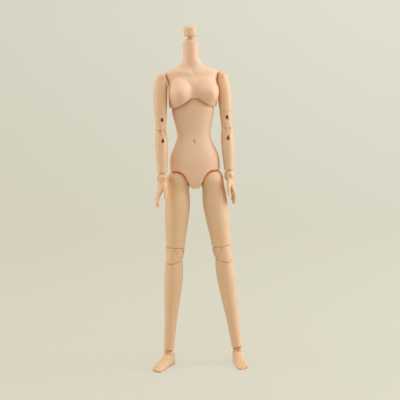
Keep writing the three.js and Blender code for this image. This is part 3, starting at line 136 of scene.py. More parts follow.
def unitTube(rings, segments):
    # a closed tube of radius 1 with its rings at z 0, 1, 2 and so on
    mesh = bmesh.new()
    bmesh.ops.create_circle(mesh, segments=segments, radius=1)
    foot = mesh.edges[:]
    rim = foot
    for _ in range(rings - 1):
        grown = bmesh.ops.extrude_edge_only(mesh, edges=rim)["geom"]
        rim = [part for part in grown if isinstance(part, bmesh.types.BMEdge) and part.is_boundary]
        bmesh.ops.translate(mesh, verts=vertsIn(grown), vec=(0, 0, 1))
    bmesh.ops.edgeloop_fill(mesh, edges=foot + rim)
    return mesh


def bulge(value, power):
    return math.copysign(abs(value) ** power, value)


def spotOn(ring, turn):
    curves, height, shrink = ring
    across, deep = math.cos(turn), math.sin(turn)
    out = curves["inn" if across < 0 and "inn" in curves else "out"](height) - shrink
    side = curves["back" if deep > 0 and "back" in curves else "front"](height) - shrink
    power = 2 / curves["round"](height) if "round" in curves else 1
    x = curves["x"](height) if "x" in curves else 0
    y = curves["y"](height) if "y" in curves else 0
    return Vector((x + bulge(across, power) * out, y + bulge(deep, power) * side, height))


def loft(rings, segments, push=None):
    mesh = unitTube(len(rings), segments)
    for vert in mesh.verts:
        k = round(vert.co.z)
        place = spotOn(rings[k], math.atan2(vert.co.y, vert.co.x))
        vert.co = push(place, k) if push else place
    return facingOut(mesh)


# Plain shapes, used as parts and as cutters

def rod(radius, start, end, sides=32):
    start, end = Vector(start), Vector(end)
    along = end - start
    place = Matrix.Translation((start + end) / 2) @ along.to_track_quat("Z", "Y").to_matrix().to_4x4()
    mesh = bmesh.new()
    bmesh.ops.create_cone(mesh, cap_ends=True, segments=sides, radius1=radius, radius2=radius,
                          depth=along.length, matrix=place)
    return mesh


def crossRod(radius, height, reach=9):
    return rod(radius, (-reach, 0, height), (reach, 0, height), 28)


def block(low, high):
    low, high = Vector(low), Vector(high)
    mesh = bmesh.new()
    size = high - low
    place = Matrix.Translation((low + high) / 2) @ Matrix.Diagonal((*size, 1))
    bmesh.ops.create_cube(mesh, size=1, matrix=place)
    return mesh


def ball(radius, centre, sides=48):
    mesh = bmesh.new()
    bmesh.ops.create_uvsphere(mesh, u_segments=sides, v_segments=sides // 2, radius=radius,
                              matrix=Matrix.Translation(centre))
    return mesh


def arc(centre, radius, start, end, count=12):
    turns = [math.radians(start + (end - start) * k / count) for k in range(count + 1)]
    return [(centre[0] + radius * math.cos(t), centre[1] + radius * math.sin(t)) for t in turns]


def bend(start, first, second, end, count=16):
    # points of a Bezier curve after its start
    knots = [Vector((*point, 0)) for point in (start, first, second, end)]
    return [tuple(point.xy) for point in interpolate_bezier(*knots, count + 1)[1:]]


def plate(outline, low, high, across="X"):
    # an outline in (across, up) pulled through the other level direction
    mesh = bmesh.new()
    if across == "X":
        verts = [mesh.verts.new((a, low, b)) for a, b in outline]
        way = (0, high - low, 0)
    else:
        verts = [mesh.verts.new((low, a, b)) for a, b in outline]
        way = (high - low, 0, 0)
    bmesh.ops.contextual_create(mesh, geom=verts)
    grown = bmesh.ops.extrude_face_region(mesh, geom=mesh.faces[:])["geom"]
    bmesh.ops.translate(mesh, verts=vertsIn(grown), vec=way)
    return facingOut(mesh)


def spun(profile, sides=64):
    # (radius, z) points that start and end on the axis, turned round Z
    mesh = bmesh.new()
    verts = [mesh.verts.new((radius, 0, z)) for radius, z in profile]
    edges = [mesh.edges.new(pair) for pair in zip(verts, verts[1:])]
    bmesh.ops.spin(mesh, geom=verts + edges, axis=(0, 0, 1), cent=(0, 0, 0), dvec=(0, 0, 0),
                   angle=2 * math.pi, steps=sides, use_merge=True)
    bmesh.ops.remove_doubles(mesh, verts=mesh.verts, dist=0.001)
    return facingOut(mesh)


def turned(mesh, matrix):
    bmesh.ops.transform(mesh, matrix=matrix, verts=mesh.verts)
    if matrix.determinant() < 0:
        bmesh.ops.reverse_faces(mesh, faces=mesh.faces)
    return mesh


def swung(mesh, degrees, axis="Z"):
    return turned(mesh, Matrix.Rotation(math.radians(degrees), 4, axis))


def mirrored(mesh):
    return turned(mesh.copy(), Matrix.Diagonal((-1, 1, 1, 1)))


def linked(name, data):
    thing = bpy.data.objects.new(name, data)
    bpy.context.scene.collection.objects.link(thing)
    return thing


def meshObject(name, mesh):
    data = bpy.data.meshes.new(name)
    mesh.to_mesh(data)
    return linked(name, data)


def worked(mesh, steps):
    # a mesh with modifiers worked in: steps are (kind, settings), or (operation, mesh) for cuts
    body = meshObject("work", mesh)
    helpers = [body]
    for kind, detail in steps:
        if isinstance(detail, dict):
            modifier = body.modifiers.new(kind, kind)
            for name, value in detail.items():
                setattr(modifier, name, value)
        else:
            other = meshObject("work", detail)
            helpers.append(other)
            modifier = body.modifiers.new(kind, "BOOLEAN")
            modifier.operation = kind
            modifier.solver = "EXACT"
            modifier.object = other
    ready = bpy.context.evaluated_depsgraph_get()
    data = bpy.data.meshes.new_from_object(body.evaluated_get(ready))
    result = bmesh.new()
    result.from_mesh(data)
    bpy.data.meshes.remove(data)
    for helper in helpers:
        data = helper.data
        bpy.data.objects.remove(helper)
        bpy.data.meshes.remove(data)
    return result


def cut(mesh, *cutters):
    return worked(mesh, [("DIFFERENCE", cutter) for cutter in cutters])


def joined(mesh, *others):
    return worked(mesh, [("UNION", other) for other in others])


def common(mesh, other):
    return worked(mesh, [("INTERSECT", other)])


def softened(mesh, width=0.12, angle=38, weld=0.05, above=-1000):
    # tiny slivers are welded, then the sharp edges over a height get a small round
    bmesh.ops.remove_doubles(mesh, verts=mesh.verts, dist=weld)
    bmesh.ops.dissolve_degenerate(mesh, edges=mesh.edges, dist=weld / 4)
    limit = math.radians(angle)
    sharp = [e for e in mesh.edges if e.is_manifold and e.calc_face_angle(0) > limit
             and min(v.co.z for v in e.verts) > above]
    if sharp:
        bmesh.ops.bevel(mesh, geom=sharp, offset=width, offset_type="OFFSET", segments=2, profile=0.5,
                        affect="EDGES", clamp_overlap=False, material=-1, miter_outer="SHARP",
                        miter_inner="SHARP", loop_slide=True)
        bmesh.ops.remove_doubles(mesh, verts=mesh.verts, dist=0.01)
    return mesh


def place(name, mesh, seat, body, material, slot, node=None, angle=40):
    mesh = turned(mesh.copy(), seat)
    limit = math.radians(angle)
    for face in mesh.faces:
        face.smooth = True
    for edge in mesh.edges:
        edge.smooth = not edge.is_manifold or edge.calc_face_angle(0) < limit
    piece = meshObject(name, mesh)
    mesh.free()
    piece.data.materials.append(material)
    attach(piece, body)
    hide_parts(node or name)


def placeAll(side, rows):
    # rows of piece, mesh, seat, body, material and slot on one side
    for part, mesh, seat, body, material, slot in rows:
        place(f"{side}_{part}", mesh, seat, f"{side}_{body}", material, slot)


# Materials: one class for a wire between shader nodes, one for a finish
class Wire:
    def __init__(self, finish, socket):
        self.finish, self.socket = finish, socket

    def maths(self, operation, first, second):
        return self.finish.add("ShaderNodeMath", {"operation": operation}, {0: first, 1: second})

    def __add__(self, other):
        return self.maths("ADD", self, other)

    def __sub__(self, other):
        return self.maths("SUBTRACT", self, other)

    def __rsub__(self, other):
        return self.maths("SUBTRACT", other, self)

    def __mul__(self, other):
        return self.maths("MULTIPLY", self, other)

    __radd__ = __add__
    __rmul__ = __mul__


class Finish:
    # kind is what it is made as, materials or worlds, and shader the node that comes with it
    def __init__(self, name, settings, kind="materials", shader="Principled BSDF"):
        self.material = getattr(bpy.data, kind).new(name)
        self.material.use_nodes = True
        self.tree = self.material.node_tree
        self.shader = self.tree.nodes[shader]
        for socket, value in settings.items():
            self.shader.inputs[socket].default_value = value

    def add(self, kind, settings=None, values=None, out=0):
        node = self.tree.nodes.new(kind)
        for name, value in (settings or {}).items():
            setattr(node, name, value)
        for socket, value in (values or {}).items():
            if isinstance(value, Wire):
                self.tree.links.new(value.socket, node.inputs[socket])
            else:
                node.inputs[socket].default_value = value
        return Wire(self, node.outputs[out])

    def feed(self, socket, wire):
        self.tree.links.new(wire.socket, self.shader.inputs[socket])

    def blended(self, factor, first, second):
        # sockets 6 and 7 of a Mix node are its two colours, and output 2 is the result
        return self.add("ShaderNodeMix", {"data_type": "RGBA"}, {0: factor, 6: first, 7: second}, out=2)


def tone(code):
    # a colour as it is seen on a screen, turned into the linear one that shaders use
    parts = [int(code[k:k + 2], 16) / 255 for k in (1, 3, 5)]
    return [p / 12.92 if p <= 0.04045 else ((p + 0.055) / 1.055) ** 2.4 for p in parts] + [1]


black = (0, 0, 0, 1)


# What each plastic looks like: its colour, the one its thicker places drift to, the painted
# shade that sheltered sides and tight gaps turn to, a painted glow in those gaps that stands for light
# getting through the plastic, its gloss and the size of its grain in millimetres
plastics = {
    "coverVinyl": {"main": "#ECC7A7", "drift": "#E5BC99", "side": "#DB9662", "deep": "#D0814A",
                   "paintedGlow": "#7C4E26", "rough": 0.5, "grain": 0.22, "bump": 0.05, "skin": 0.3},
    "limbPlastic": {"main": "#E6C19A", "drift": "#E0B88F", "side": "#D98C52", "deep": "#CA7A3E",
                    "paintedGlow": "#7C4B20", "rough": 0.44, "grain": 0.3, "bump": 0.035, "skin": 0.25},
    "neckPlastic": {"main": "#E5C19C", "drift": "#DFB890", "side": "#DA9966", "deep": "#D07C3C",
                    "paintedGlow": "#8A5220", "rough": 0.42, "grain": 0.3, "bump": 0.03, "skin": 0.25},
    "innerPlastic": {"main": "#DDA676", "drift": "#D29A69", "side": "#D08A52", "deep": "#C4702F",
                     "paintedGlow": "#854C1C", "rough": 0.48, "grain": 0.35, "bump": 0.05, "skin": 0.2},
}
paintedShadeReach = {
    # masks for painted shade, one for tight gaps and one for sheltered sides: reach in millimetres, how open
    # it starts and ends, and its share
    "gap": (1.1, 0.68, 0.2, 0.9),
    "side": (8, 0.8, 0.25, 0.7),
}


def plasticFinish(name):
    look = plastics[name]
    finish = Finish(name, {
        "Subsurface Weight": look["skin"],
        "Subsurface Radius": (1.0, 0.38, 0.15),
        "Subsurface Scale": 1.5 * mm,
        "Specular IOR Level": 0.5,
        "Sheen Weight": 0.12,
        "Sheen Roughness": 0.45,
        "Emission Strength": 1.0,
    })
    place = finish.add("ShaderNodeTexCoord", out=3)
    cloud, fine = [finish.add("ShaderNodeTexNoise", values={
        "Vector": place, "Scale": scale, "Detail": detail, "Roughness": rough,
    }) for scale, detail, rough in ((90, 3, 0.5), (0.5 / (look["grain"] * mm), 2, 0.6))]

    def paintedShadeMask(reach, first, last, share):
        # where painted shade goes: 0 in the open, up to the share where other surfaces are near
        sky = finish.add("ShaderNodeAmbientOcclusion", {"samples": 8}, {"Distance": reach * mm}, out=1)
        return finish.add("ShaderNodeMapRange", {"interpolation_type": "SMOOTHSTEP"},
                          {"Value": sky, 1: first, 2: last, 3: 0.0, 4: share})

    # painted shade: the colour turns to the side tone near other surfaces and to the deep tone in tight gaps
    gap, side = paintedShadeMask(*paintedShadeReach["gap"]), paintedShadeMask(*paintedShadeReach["side"])
    body = finish.blended(cloud, tone(look["main"]), tone(look["drift"]))
    body = finish.blended(side, body, tone(look["side"]))
    finish.feed("Base Color", finish.blended(gap, body, tone(look["deep"])))
    # painted glow: tight gaps emit a warm colour in place of light getting through the plastic
    finish.feed("Emission Color", finish.blended(gap, black, tone(look["paintedGlow"])))
    finish.feed("Roughness", look["rough"] - 0.04 + 0.1 * cloud - 0.02 * fine)
    finish.feed("Normal", finish.add("ShaderNodeBump", values={
        "Height": fine, "Strength": look["bump"], "Distance": 0.05 * mm}))
    return finish.material


coverVinyl, limbPlastic, neckPlastic, innerPlastic = [plasticFinish(name) for name in plastics]
limbLook, pinLook = (limbPlastic, "limb_plastic"), (neckPlastic, "neck_plastic")
print("plastics mixed")


# The trunk's lower cover: from the crotch to the waist, open for the legs and the waist joint
torso = {
    "out": [(-0.126, 13), (-0.008, 16.3), (0.11, 16.9), (0.23, 17.1), (0.348, 16.2), (0.476, 13.4),
            (0.605, 11.3), (0.743, 12.35), (0.822, 13.2), (0.94, 14.3), (1, 13.9), (1.06, 12.5), (1.128, 9.9),
            (1.158, 7.8)],
    "front": [(-0.126, 6.5), (-0.008, 8.9), (0.15, 9.5), (0.348, 9.4), (0.486, 8.4), (0.625, 7.6),
              (0.783, 8.2), (0.94, 9.1), (1.02, 9.15), (1.08, 9), (1.13, 8.5), (1.158, 7.4)],
    "back": [(-0.126, 7), (-0.008, 10.6), (0.11, 12.2), (0.23, 12), (0.348, 10.2), (0.486, 7.8),
             (0.625, 6.9), (0.783, 7.6), (0.94, 8.1), (1.02, 7.9), (1.08, 7.4), (1.128, 6.4), (1.158, 5)],
    "round": [(-0.126, 2), (0.03, 2.2), (0.39, 2.1), (0.625, 2.1), (0.94, 2.1), (1.158, 2)],
    "top": 1.158,
    "wall": 1.3,
    "crotch": -5.1,
    "crotchLip": 0.5,
    "floor": 11.6,
    "mouth": {"across": 6.4, "deep": 4.8, "tall": 3.1},
    "socket": 8.5,
    "hipHalf": 11,
    "peg": 1.5,
    "slot": {"front": -4.1, "back": 4.5, "foot": -3.2},
    # the leg's opening as spots from the hip: straight up, then two bends over the thigh
    "opening": {"foot": -14, "inner": (-8.7, -5.1), "corner": (-7.05, -2.7), "outer": (19, 6.5),
                "bends": [((-6, 0.1), (-5.4, 2.1), (-3.8, 4.5)), ((-2.2, 6.6), (0, 7.5), (2, 7.3))]},
    "navel": {"height": 26.9, "wide": 0.95, "tall": 1.9, "depth": 1.25, "steep": 1.6,
              "rim": 0.16, "rimAt": 1.35, "rimWide": 0.35},
    "spine": {"wide": 1.5, "depth": 0.75, "low": 10, "high": 50},
    "seatCleft": {"wide": 0.9, "depth": 1.1, "low": -4.5, "high": 9},
}
pelvisMiddle = (spotOf("left_hip_swing") + spotOf("right_hip_swing")) / 2
torsoLength = (spotOf("waist_turn") - pelvisMiddle).length / mm
pelvisSeat = seatAt(pelvisMiddle, axisOf("waist_turn", (0, 0, 1)),
                    spotOf("left_hip_swing") - spotOf("right_hip_swing"))


def bell(value, width):
    return math.exp(-(value / width) ** 2)


def grooveDepth(groove, place, power=1):
    # how deep an upright groove is at a spot, fading out to both of its ends
    middle, half = (groove["low"] + groove["high"]) / 2, (groove["high"] - groove["low"]) / 2
    fade = max(0, 1 - ((place.z - middle) / half) ** 2) ** power
    return groove["depth"] * bell(place.x, groove["wide"]) * fade


def torsoRelief(place, inside):
    # navel, spine and seat pressed into the outer skin
    if inside:
        return place
    if place.y < 0:
        pit = torso["navel"]
        u, v = place.x / pit["wide"], (place.z - pit["height"]) / pit["tall"]
        reach = math.hypot(u, v)
        place.y += pit["depth"] * math.exp(-reach ** 2 * pit["steep"])
        place.y -= pit["rim"] * bell(reach - pit["rimAt"], pit["rimWide"])
    else:
        for groove in (torso["spine"], torso["seatCleft"]):
            place.y -= grooveDepth(groove, place, 0.7)
    return place


def legOpening():
    shape = torso["opening"]
    inner, outer, foot = shape["inner"], shape["outer"], shape["foot"]
    outline = [(inner[0], foot), inner, shape["corner"]]
    for spots in shape["bends"]:
        outline += bend(outline[-1], *spots)
    outline += [outer, (outer[0], foot)]
    return plate([(torso["hipHalf"] + out, rise) for out, rise in outline], -24, 24)


def torsoCover():
    skin = curvesOf({name: [(share * torsoLength, value) for share, value in torso[name]]
                     for name in ("out", "front", "back", "round")})
    top, rim = torso["top"] * torsoLength, torso["mouth"]
    mouth = curvesOf({"out": rim["across"], "front": rim["deep"]})
    inner = [(skin, z, torso["wall"]) for z in evenSteps(torso["floor"], top - rim["tall"] - 0.1, 1.5)]
    neck = [(mouth, top - rim["tall"], 0), (mouth, top, 0)]
    outer = ringsAlong(skin, top, torso["crotch"], 0.62, lipLow=0.3, lipHigh=torso["crotchLip"])
    rings = inner + neck + outer
    insideCount = len(inner) + len(neck)
    mesh = loft(rings, 144, lambda place, k: torsoRelief(place, k < insideCount))
    opening = legOpening()
    hip, peg, slot = torso["hipHalf"], torso["peg"], torso["slot"]
    sockets = [ball(torso["socket"], (side * hip, 0, 0), 64) for side in (1, -1)]
    window = block((-peg, slot["front"], slot["foot"]), (peg, slot["back"], torso["floor"] + 1))
    pegHole = rod(peg, (-hip, 0, 0), (hip, 0, 0))
    return softened(cut(mesh, opening, mirrored(opening), *sockets, window, pegHole), width=0.1)


place("torso_cover", torsoCover(), pelvisSeat, "pelvis", coverVinyl, "soft_cover")
print("lower cover made")


# The chest cover: a shell with a curved hem, two breasts, collar bones and the neck
chest = {
    "out": [(-5, 15.8), (-1, 16), (2, 16.6), (6, 16.9), (10, 16.8), (15, 16.6), (20, 17.6), (23, 18),
            (24.6, 15.4), (25.8, 12), (27.3, 8.9), (30.1, 6.3), (33, 5.35), (37, 5.15), (43.9, 5.15)],
    "front": [(-5, 9.9), (-1, 10), (5, 10.2), (11, 9.9), (16, 8.8), (20, 7.2), (23, 5.9), (25.8, 5),
              (28, 4.7), (31, 4.9), (37, 5.1), (43.9, 5.1)],
    "back": [(-5, 9.6), (1, 9.7), (9, 9.9), (15, 9.4), (20, 8.2), (23, 7), (25.8, 6.3), (28, 5.8), (32, 5.2),
             (37, 5.1), (43.9, 5.1)],
    "round": [(-5, 2.1), (9, 2.2), (19, 2.2), (25, 2), (43.9, 2)],
    "hem": [(0, 6), (2.5, 5.4), (5, 3.9), (7.6, 2), (10.6, 0.4), (13, -0.3), (15.6, -0.8), (24, -0.8)],
    "hemFade": 14,
    "rim": 43.9,
    "neckBore": 4.52,
    "neckFloor": 32.6,
    "armhole": {"radius": 7, "reach": 2.8, "tilt": 15, "half": 20.3, "height": 19.5, "peg": 1.9},
    "bust": {"across": 9.8, "height": 9.6, "half": 8.4, "above": 10.5, "below": 9.4, "rise": 6.2,
             "full": (0.95, 0.35), "lean": {1: 2.7, -1: 1.8}, "leanLeast": 0.35,
             "limit": 17.1, "over": {1: 0.8, -1: 0}, "overFrom": (-4.5, -8)},
    "slim": {"height": 8.5, "tall": 9.5, "share": 0.04},
    "collarBone": {"inner": (1.6, 23.2), "outer": (14.5, 25), "sag": 2, "wide": 1.5, "rise": 0.4,
                   "dent": 0.22, "dentDrop": 2.9, "dentTall": 1.9, "ends": (-0.15, 1.1),
                   "fades": (0.15, 0.5)},
    "throat": {"height": 24.2, "wide": 1.3, "tall": 1.5, "depth": 0.55},
    "shoulderBlade": {"across": 7.5, "height": 12, "wide": 4.2, "tall": 7, "rise": 0.55},
    "spine": {"wide": 1.6, "depth": 0.7, "low": -6, "high": 22},
}
chestHollow = {
    "out": [(-11, 15.25), (-3, 15.25), (3, 15.1), (7, 14.3), (12.5, 13.3), (16.5, 14.6), (18.3, 15.5),
            (23.1, 15.5), (24.1, 12)],
    "front": [(-11, 9.9), (-1, 9.8), (5, 9.4), (10, 8.8), (15.5, 7.5), (19.5, 5.7), (23.1, 4.5), (24.1, 4)],
    "back": [(-11, 9.1), (1, 9.1), (7, 8.9), (12, 8.4), (15, 8), (19.5, 7), (23.1, 5.6), (24.1, 5)],
    "round": 2.1,
    "top": 24.1,
}
chestSeat = seatAt(spotOf("waist_turn"), axisOf("waist_turn", (0, 0, 1)), axisOf("waist_bend", (1, 0, 0)))


def tiltedSpot(reach, tilt):
    turn = math.radians(tilt)
    return (reach * math.cos(turn), 0, -reach * math.sin(turn))


def swingLine(reach):
    # a spot on the left shoulder's swing axis, this far outwards from its centre
    hole = chest["armhole"]
    out, _, up = tiltedSpot(reach, hole["tilt"])
    return (hole["half"] + out, 0, hole["height"] + up)


def hemLift(place):
    # the front hem follows its curve, and the shell above it eases back to level
    if place.y > 0:
        return 0
    base = chest["hem"][-1][1]
    fade = min(1, max(0, (place.z - base) / chest["hemFade"]))
    return (chest["hemCurve"](abs(place.x)) - base) * (1 - fade * fade * (3 - 2 * fade))


def bustSwell(place):
    shape = chest["bust"]
    side = math.copysign(1, place.x)
    u = (abs(place.x) - shape["across"]) / shape["half"]
    v = (place.z - shape["height"]) / shape["above" if place.z > shape["height"] else "below"]
    room = 1 - u * u - v * v
    if place.y > 0 or room <= 0:
        return place
    (power, morePower), least = shape["full"], shape["leanLeast"]
    swell = room ** (power + morePower * max(0, v))
    place.y -= shape["rise"] * swell
    lean = shape["lean"][side] * (least + (1 - least) * min(1, abs(place.x) / shape["across"]))
    # in front of the arm a breast may reach further out than beside it
    first, last = shape["overFrom"]
    limit = shape["limit"] + shape["over"][side] * min(1, max(0, (place.y - first) / (last - first)))
    place.x = side * min(abs(place.x) + lean * swell, limit)
    return place


def chestRelief(place):
    slim = chest["slim"]
    if place.x < 0:
        place.x *= 1 - slim["share"] * bell(place.z - slim["height"], slim["tall"])
    if place.y < 0:
        bone = chest["collarBone"]
        (x0, z0), (x1, z1) = bone["inner"], bone["outer"]
        t = (abs(place.x) - x0) / (x1 - x0)
        (first, last), (fadeIn, fadeOut) = bone["ends"], bone["fades"]
        if first < t < last:
            line = z0 + (z1 - z0) * t - bone["sag"] * t * (1 - t)
            fade = min(1, (t - first) / fadeIn) * min(1, (last - t) / fadeOut)
            place.y -= bone["rise"] * bell(place.z - line, bone["wide"]) * fade
            place.y += bone["dent"] * bell(place.z - line + bone["dentDrop"], bone["dentTall"]) * fade
        pit = chest["throat"]
        place.y += pit["depth"] * bell(place.x, pit["wide"]) * bell(place.z - pit["height"], pit["tall"])
    else:
        blade = chest["shoulderBlade"]
        place.y += (blade["rise"] * bell(abs(place.x) - blade["across"], blade["wide"])
                    * bell(place.z - blade["height"], blade["tall"]))
        place.y -= grooveDepth(chest["spine"], place)
    return place


def chestCover():
    chest["hemCurve"] = curveThrough(chest["hem"])
    skin = skinOf(chest, "out", "front", "back", "round")
    hollow = skinOf(chestHollow, "out", "front", "back", "round")
    bore = curvesOf({"out": chest["neckBore"], "front": chest["neckBore"]})
    base, rim = chest["hem"][-1][1], chest["rim"]
    inner = [(hollow, height, 0) for height in evenSteps(chestHollow["top"], base + 0.2, 1.3)]
    outer = ringsAlong(skin, base, rim, 0.55, lipLow=0.3, lipHigh=0.3)
    neck = [(bore, height, 0) for height in (rim, rim - 0.3, chest["neckFloor"])]
    rings = inner + outer + neck
    lastInner, firstNeck = len(inner), len(inner) + len(outer)

    def push(place, k):
        if k >= firstNeck:
            return place
        lift = hemLift(place)
        if lift:
            # the reaches are read again at the height that the hem gives this spot
            curves, height, _ = rings[k]
            across = curves["out"](height + lift) / curves["out"](height)
            deep = curves["front"](height + lift) / curves["front"](height)
            place = Vector((place.x * across, place.y * deep, place.z + lift))
        if k < lastInner:
            return place
        return chestRelief(bustSwell(place))

    mesh = loft(rings, 160, push)
    hole = chest["armhole"]
    shoulder = rod(hole["radius"], swingLine(-hole["reach"]), swingLine(14), 72)
    peg = rod(hole["peg"], swingLine(0), swingLine(-13))
    return softened(cut(mesh, shoulder, mirrored(shoulder), peg, mirrored(peg)), width=0.15)


place("chest_cover", chestCover(), chestSeat, "chest", coverVinyl, "soft_cover")
print("chest cover made")


# Arms. Heights of the upper arm are over the shoulder's centre
sides = {"left": 1, "right": -1}
arm = {
    "x": [(-45.5, 1.7), (-30.7, 1.7), (-12.5, 1.5), (-6.5, 1), (0, 0), (4.5, -0.7)],
    "out": [(-35.1, 3.6), (-30.5, 3.75), (-24.5, 4.2), (-18.5, 4.55), (-12.5, 4.75), (-7.5, 4.7),
            (-3.5, 4.45), (0, 4), (1.3, 3.4), (2.5, 2.6), (3.5, 1.55), (4, 0.7), (4.1, 0.35)],
    "front": [(-35.1, 3.7), (-30.5, 3.8), (-24.5, 4.25), (-16.5, 4.6), (-10.5, 4.6), (-4.5, 4.4), (0, 3.9),
              (1.3, 3.35), (2.5, 2.6), (3.5, 1.55), (4, 0.7), (4.1, 0.35)],
    "top": 4.1,
    "swivel": -23.9,
    "offset": 1.7,
    "elbow": -30.7,
    "face": 2.3,
    "tilt": 15,
    "slot": {"half": 1.7, "reach": 2.8, "peg": 1.9},
    "pin": {"radius": 1.12, "half": 3.93, "gap": 0.05},
    "swivelPeg": {"radius": 1.7, "rim": 0.6, "length": 7, "head": 1.6},
}
elbow = {
    "forward": 1.8,
    "face": 4.0,
    "link": {"half": 0.87, "radius": 1.95},
    "slot": {"half": 0.92, "reach": 3.9},
    "gap": 4.2,
    "boss": {"half": 2.9, "from": 0.5, "to": 3.3, "depth": 0.33},
    "flare": {"upper": 0.7, "lower": 1.75, "start": 1.4},
    "pin": {"radius": 0.7, "half": 2.98, "gap": 0.04},
}
forearm = {
    "x": [(-28.2, 0.2), (0, 0)],
    "out": [(-24.4, 3.4), (-19, 3.65), (-11, 4.15), (-4, 4.3), (1, 4), (4.1, 3.65)],
    "front": [(-24.4, 3.2), (-19, 3.5), (-11, 4.1), (-4, 4.2), (1, 4), (4.1, 3.75)],
    "bottom": -24.3,
    "top": 4.1,
    "boreTop": -16.3,
    "bore": 1.35,
    "dish": {"height": -28.2, "radius": 4.06},
}


def pinRod(radius, half, about="Y"):
    # a pin with slightly rounded ends, laid down by a quarter turn about an axis
    mesh = rod(radius, (0, 0, -half), (0, 0, half), 36)
    rims = [e for e in mesh.edges if e.calc_face_angle(0) > 1]
    bmesh.ops.bevel(mesh, geom=rims, offset=0.14, segments=3, profile=0.5, affect="EDGES", material=-1)
    return swung(mesh, 90, about)


def upperArm():
    skin, top = skinOf(arm, "x", "out", "front"), arm["top"]
    rings = ringsAlong(skin, arm["swivel"] + 0.06, 0, 0.6, lipLow=0.09)
    rings += [(skin, top * math.sin(math.pi / 2 * k / 16), 0) for k in range(1, 17)]
    mesh = loft(rings, 72)
    face = rod(9, tiltedSpot(-arm["face"] - 8, arm["tilt"]), tiltedSpot(-arm["face"], arm["tilt"]), 64)
    slot, reach, peg = arm["slot"], arm["slot"]["reach"], arm["slot"]["peg"]
    eye = rod(reach, (0, -slot["half"], 0), (0, slot["half"], 0), 40)
    outline = [(0, -reach), (-12, -reach + 0.4), (-12, 14), (peg, 14), (peg, 0)]
    slotPlate = plate(outline, -slot["half"], slot["half"])
    pin = arm["pin"]
    pinHole = rod(pin["radius"] + pin["gap"], (0, -8, 0), (0, 8, 0), 40)
    peg = arm["swivelPeg"]
    x, foot, end = arm["offset"], arm["swivel"], arm["swivel"] + peg["length"]
    bore = rod(peg["radius"] + 0.2, (x, 0, foot - 1), (x, 0, end))
    head = rod(peg["radius"] + peg["rim"] + 0.2, (x, 0, end - peg["head"] - 0.4), (x, 0, end + 0.3))
    return softened(cut(mesh, face, eye, slotPlate, pinHole, bore, head))


def elbowCuts(way):
    # what is cut round one elbow pin at the origin: the link's slot, its open V and the pin's hole
    slot, link, flare, pin = elbow["slot"], elbow["link"], elbow["flare"], elbow["pin"]
    forward = elbow["forward"]
    low, high = sorted((way * slot["reach"], -way * 8))
    window = block((-slot["half"], -9, low), (slot["half"], -forward + link["radius"] + 0.3, high))
    gap = -way * elbow["gap"]
    # a slanted flat on the front, deepest at the open end
    depth = flare["upper" if way > 0 else "lower"]
    start = (-elbow["face"], way * flare["start"])
    end = (-elbow["face"] + depth, gap)
    outline = [(-9, start[1]), start, end, (end[0], end[1] - way * 3), (-9, end[1] - way * 3)]
    opening = plate(outline, -9, 9, across="Y")
    deep = pin["half"] + 0.07
    hole = rod(pin["radius"] + pin["gap"], (-deep, -forward, 0), (deep, -forward, 0), 28)
    return window, opening, hole


def elbowSleeve():
    # drawn from the arm's own axis at the height of the upper elbow pin
    shift, aside = arm["elbow"], {"x": arm["offset"]}
    skin = curvesOf({name: [(z - shift, value - aside.get(name, 0)) for z, value in arm[name]]
                     for name in ("x", "out", "front")})
    top = arm["swivel"] - 0.05 - shift
    mesh = loft(ringsAlong(skin, -elbow["gap"], top, 0.5, lipLow=0.2, lipHigh=0.09), 72)
    window, opening, hole = elbowCuts(1)
    # a low boss behind the link closes the view through the gap
    boss, foot = elbow["boss"], -elbow["gap"]
    low, high = (-boss["half"], boss["from"], foot - boss["depth"]), (boss["half"], boss["to"], foot + 1)
    mesh = joined(mesh, block(low, high))
    peg = arm["swivelPeg"]
    tip = top + 0.05 + peg["length"]
    stem = rod(peg["radius"], (0, 0, top - 1), (0, 0, tip - 0.3))
    head = rod(peg["radius"] + peg["rim"], (0, 0, tip - peg["head"]), (0, 0, tip - 0.3))
    return softened(cut(joined(mesh, joined(stem, head)), window, opening, hole), width=0.06)


def elbowLink():
    # two round eyes joined by a flat bar, drawn from the upper pin
    link, pin = elbow["link"], elbow["pin"]
    outline = arc((0, 0), link["radius"], 0, 180, 20) + arc((0, -elbowSpan), link["radius"], 180, 360, 20)
    mesh = plate(outline, -link["half"], link["half"], across="Y")
    holes = [crossRod(pin["radius"] + pin["gap"], z, 5) for z in (0, -elbowSpan)]
    return softened(cut(mesh, *holes), width=0.07)


def forearmPiece():
    skin = skinOf(forearm, "x", "out", "front")
    mesh = loft(ringsAlong(skin, forearm["bottom"], forearm["top"], 0.55, lipLow=0.35, lipHigh=0.2), 72)
    aside, dish = forearm["x"][0][1], forearm["dish"]
    bore = rod(forearm["bore"], (aside, 0, -30), (aside, 0, forearm["boreTop"]), 28)
    hollow = ball(dish["radius"], (aside, 0, dish["height"]))
    return softened(cut(mesh, *elbowCuts(-1), bore, hollow), width=0.06)


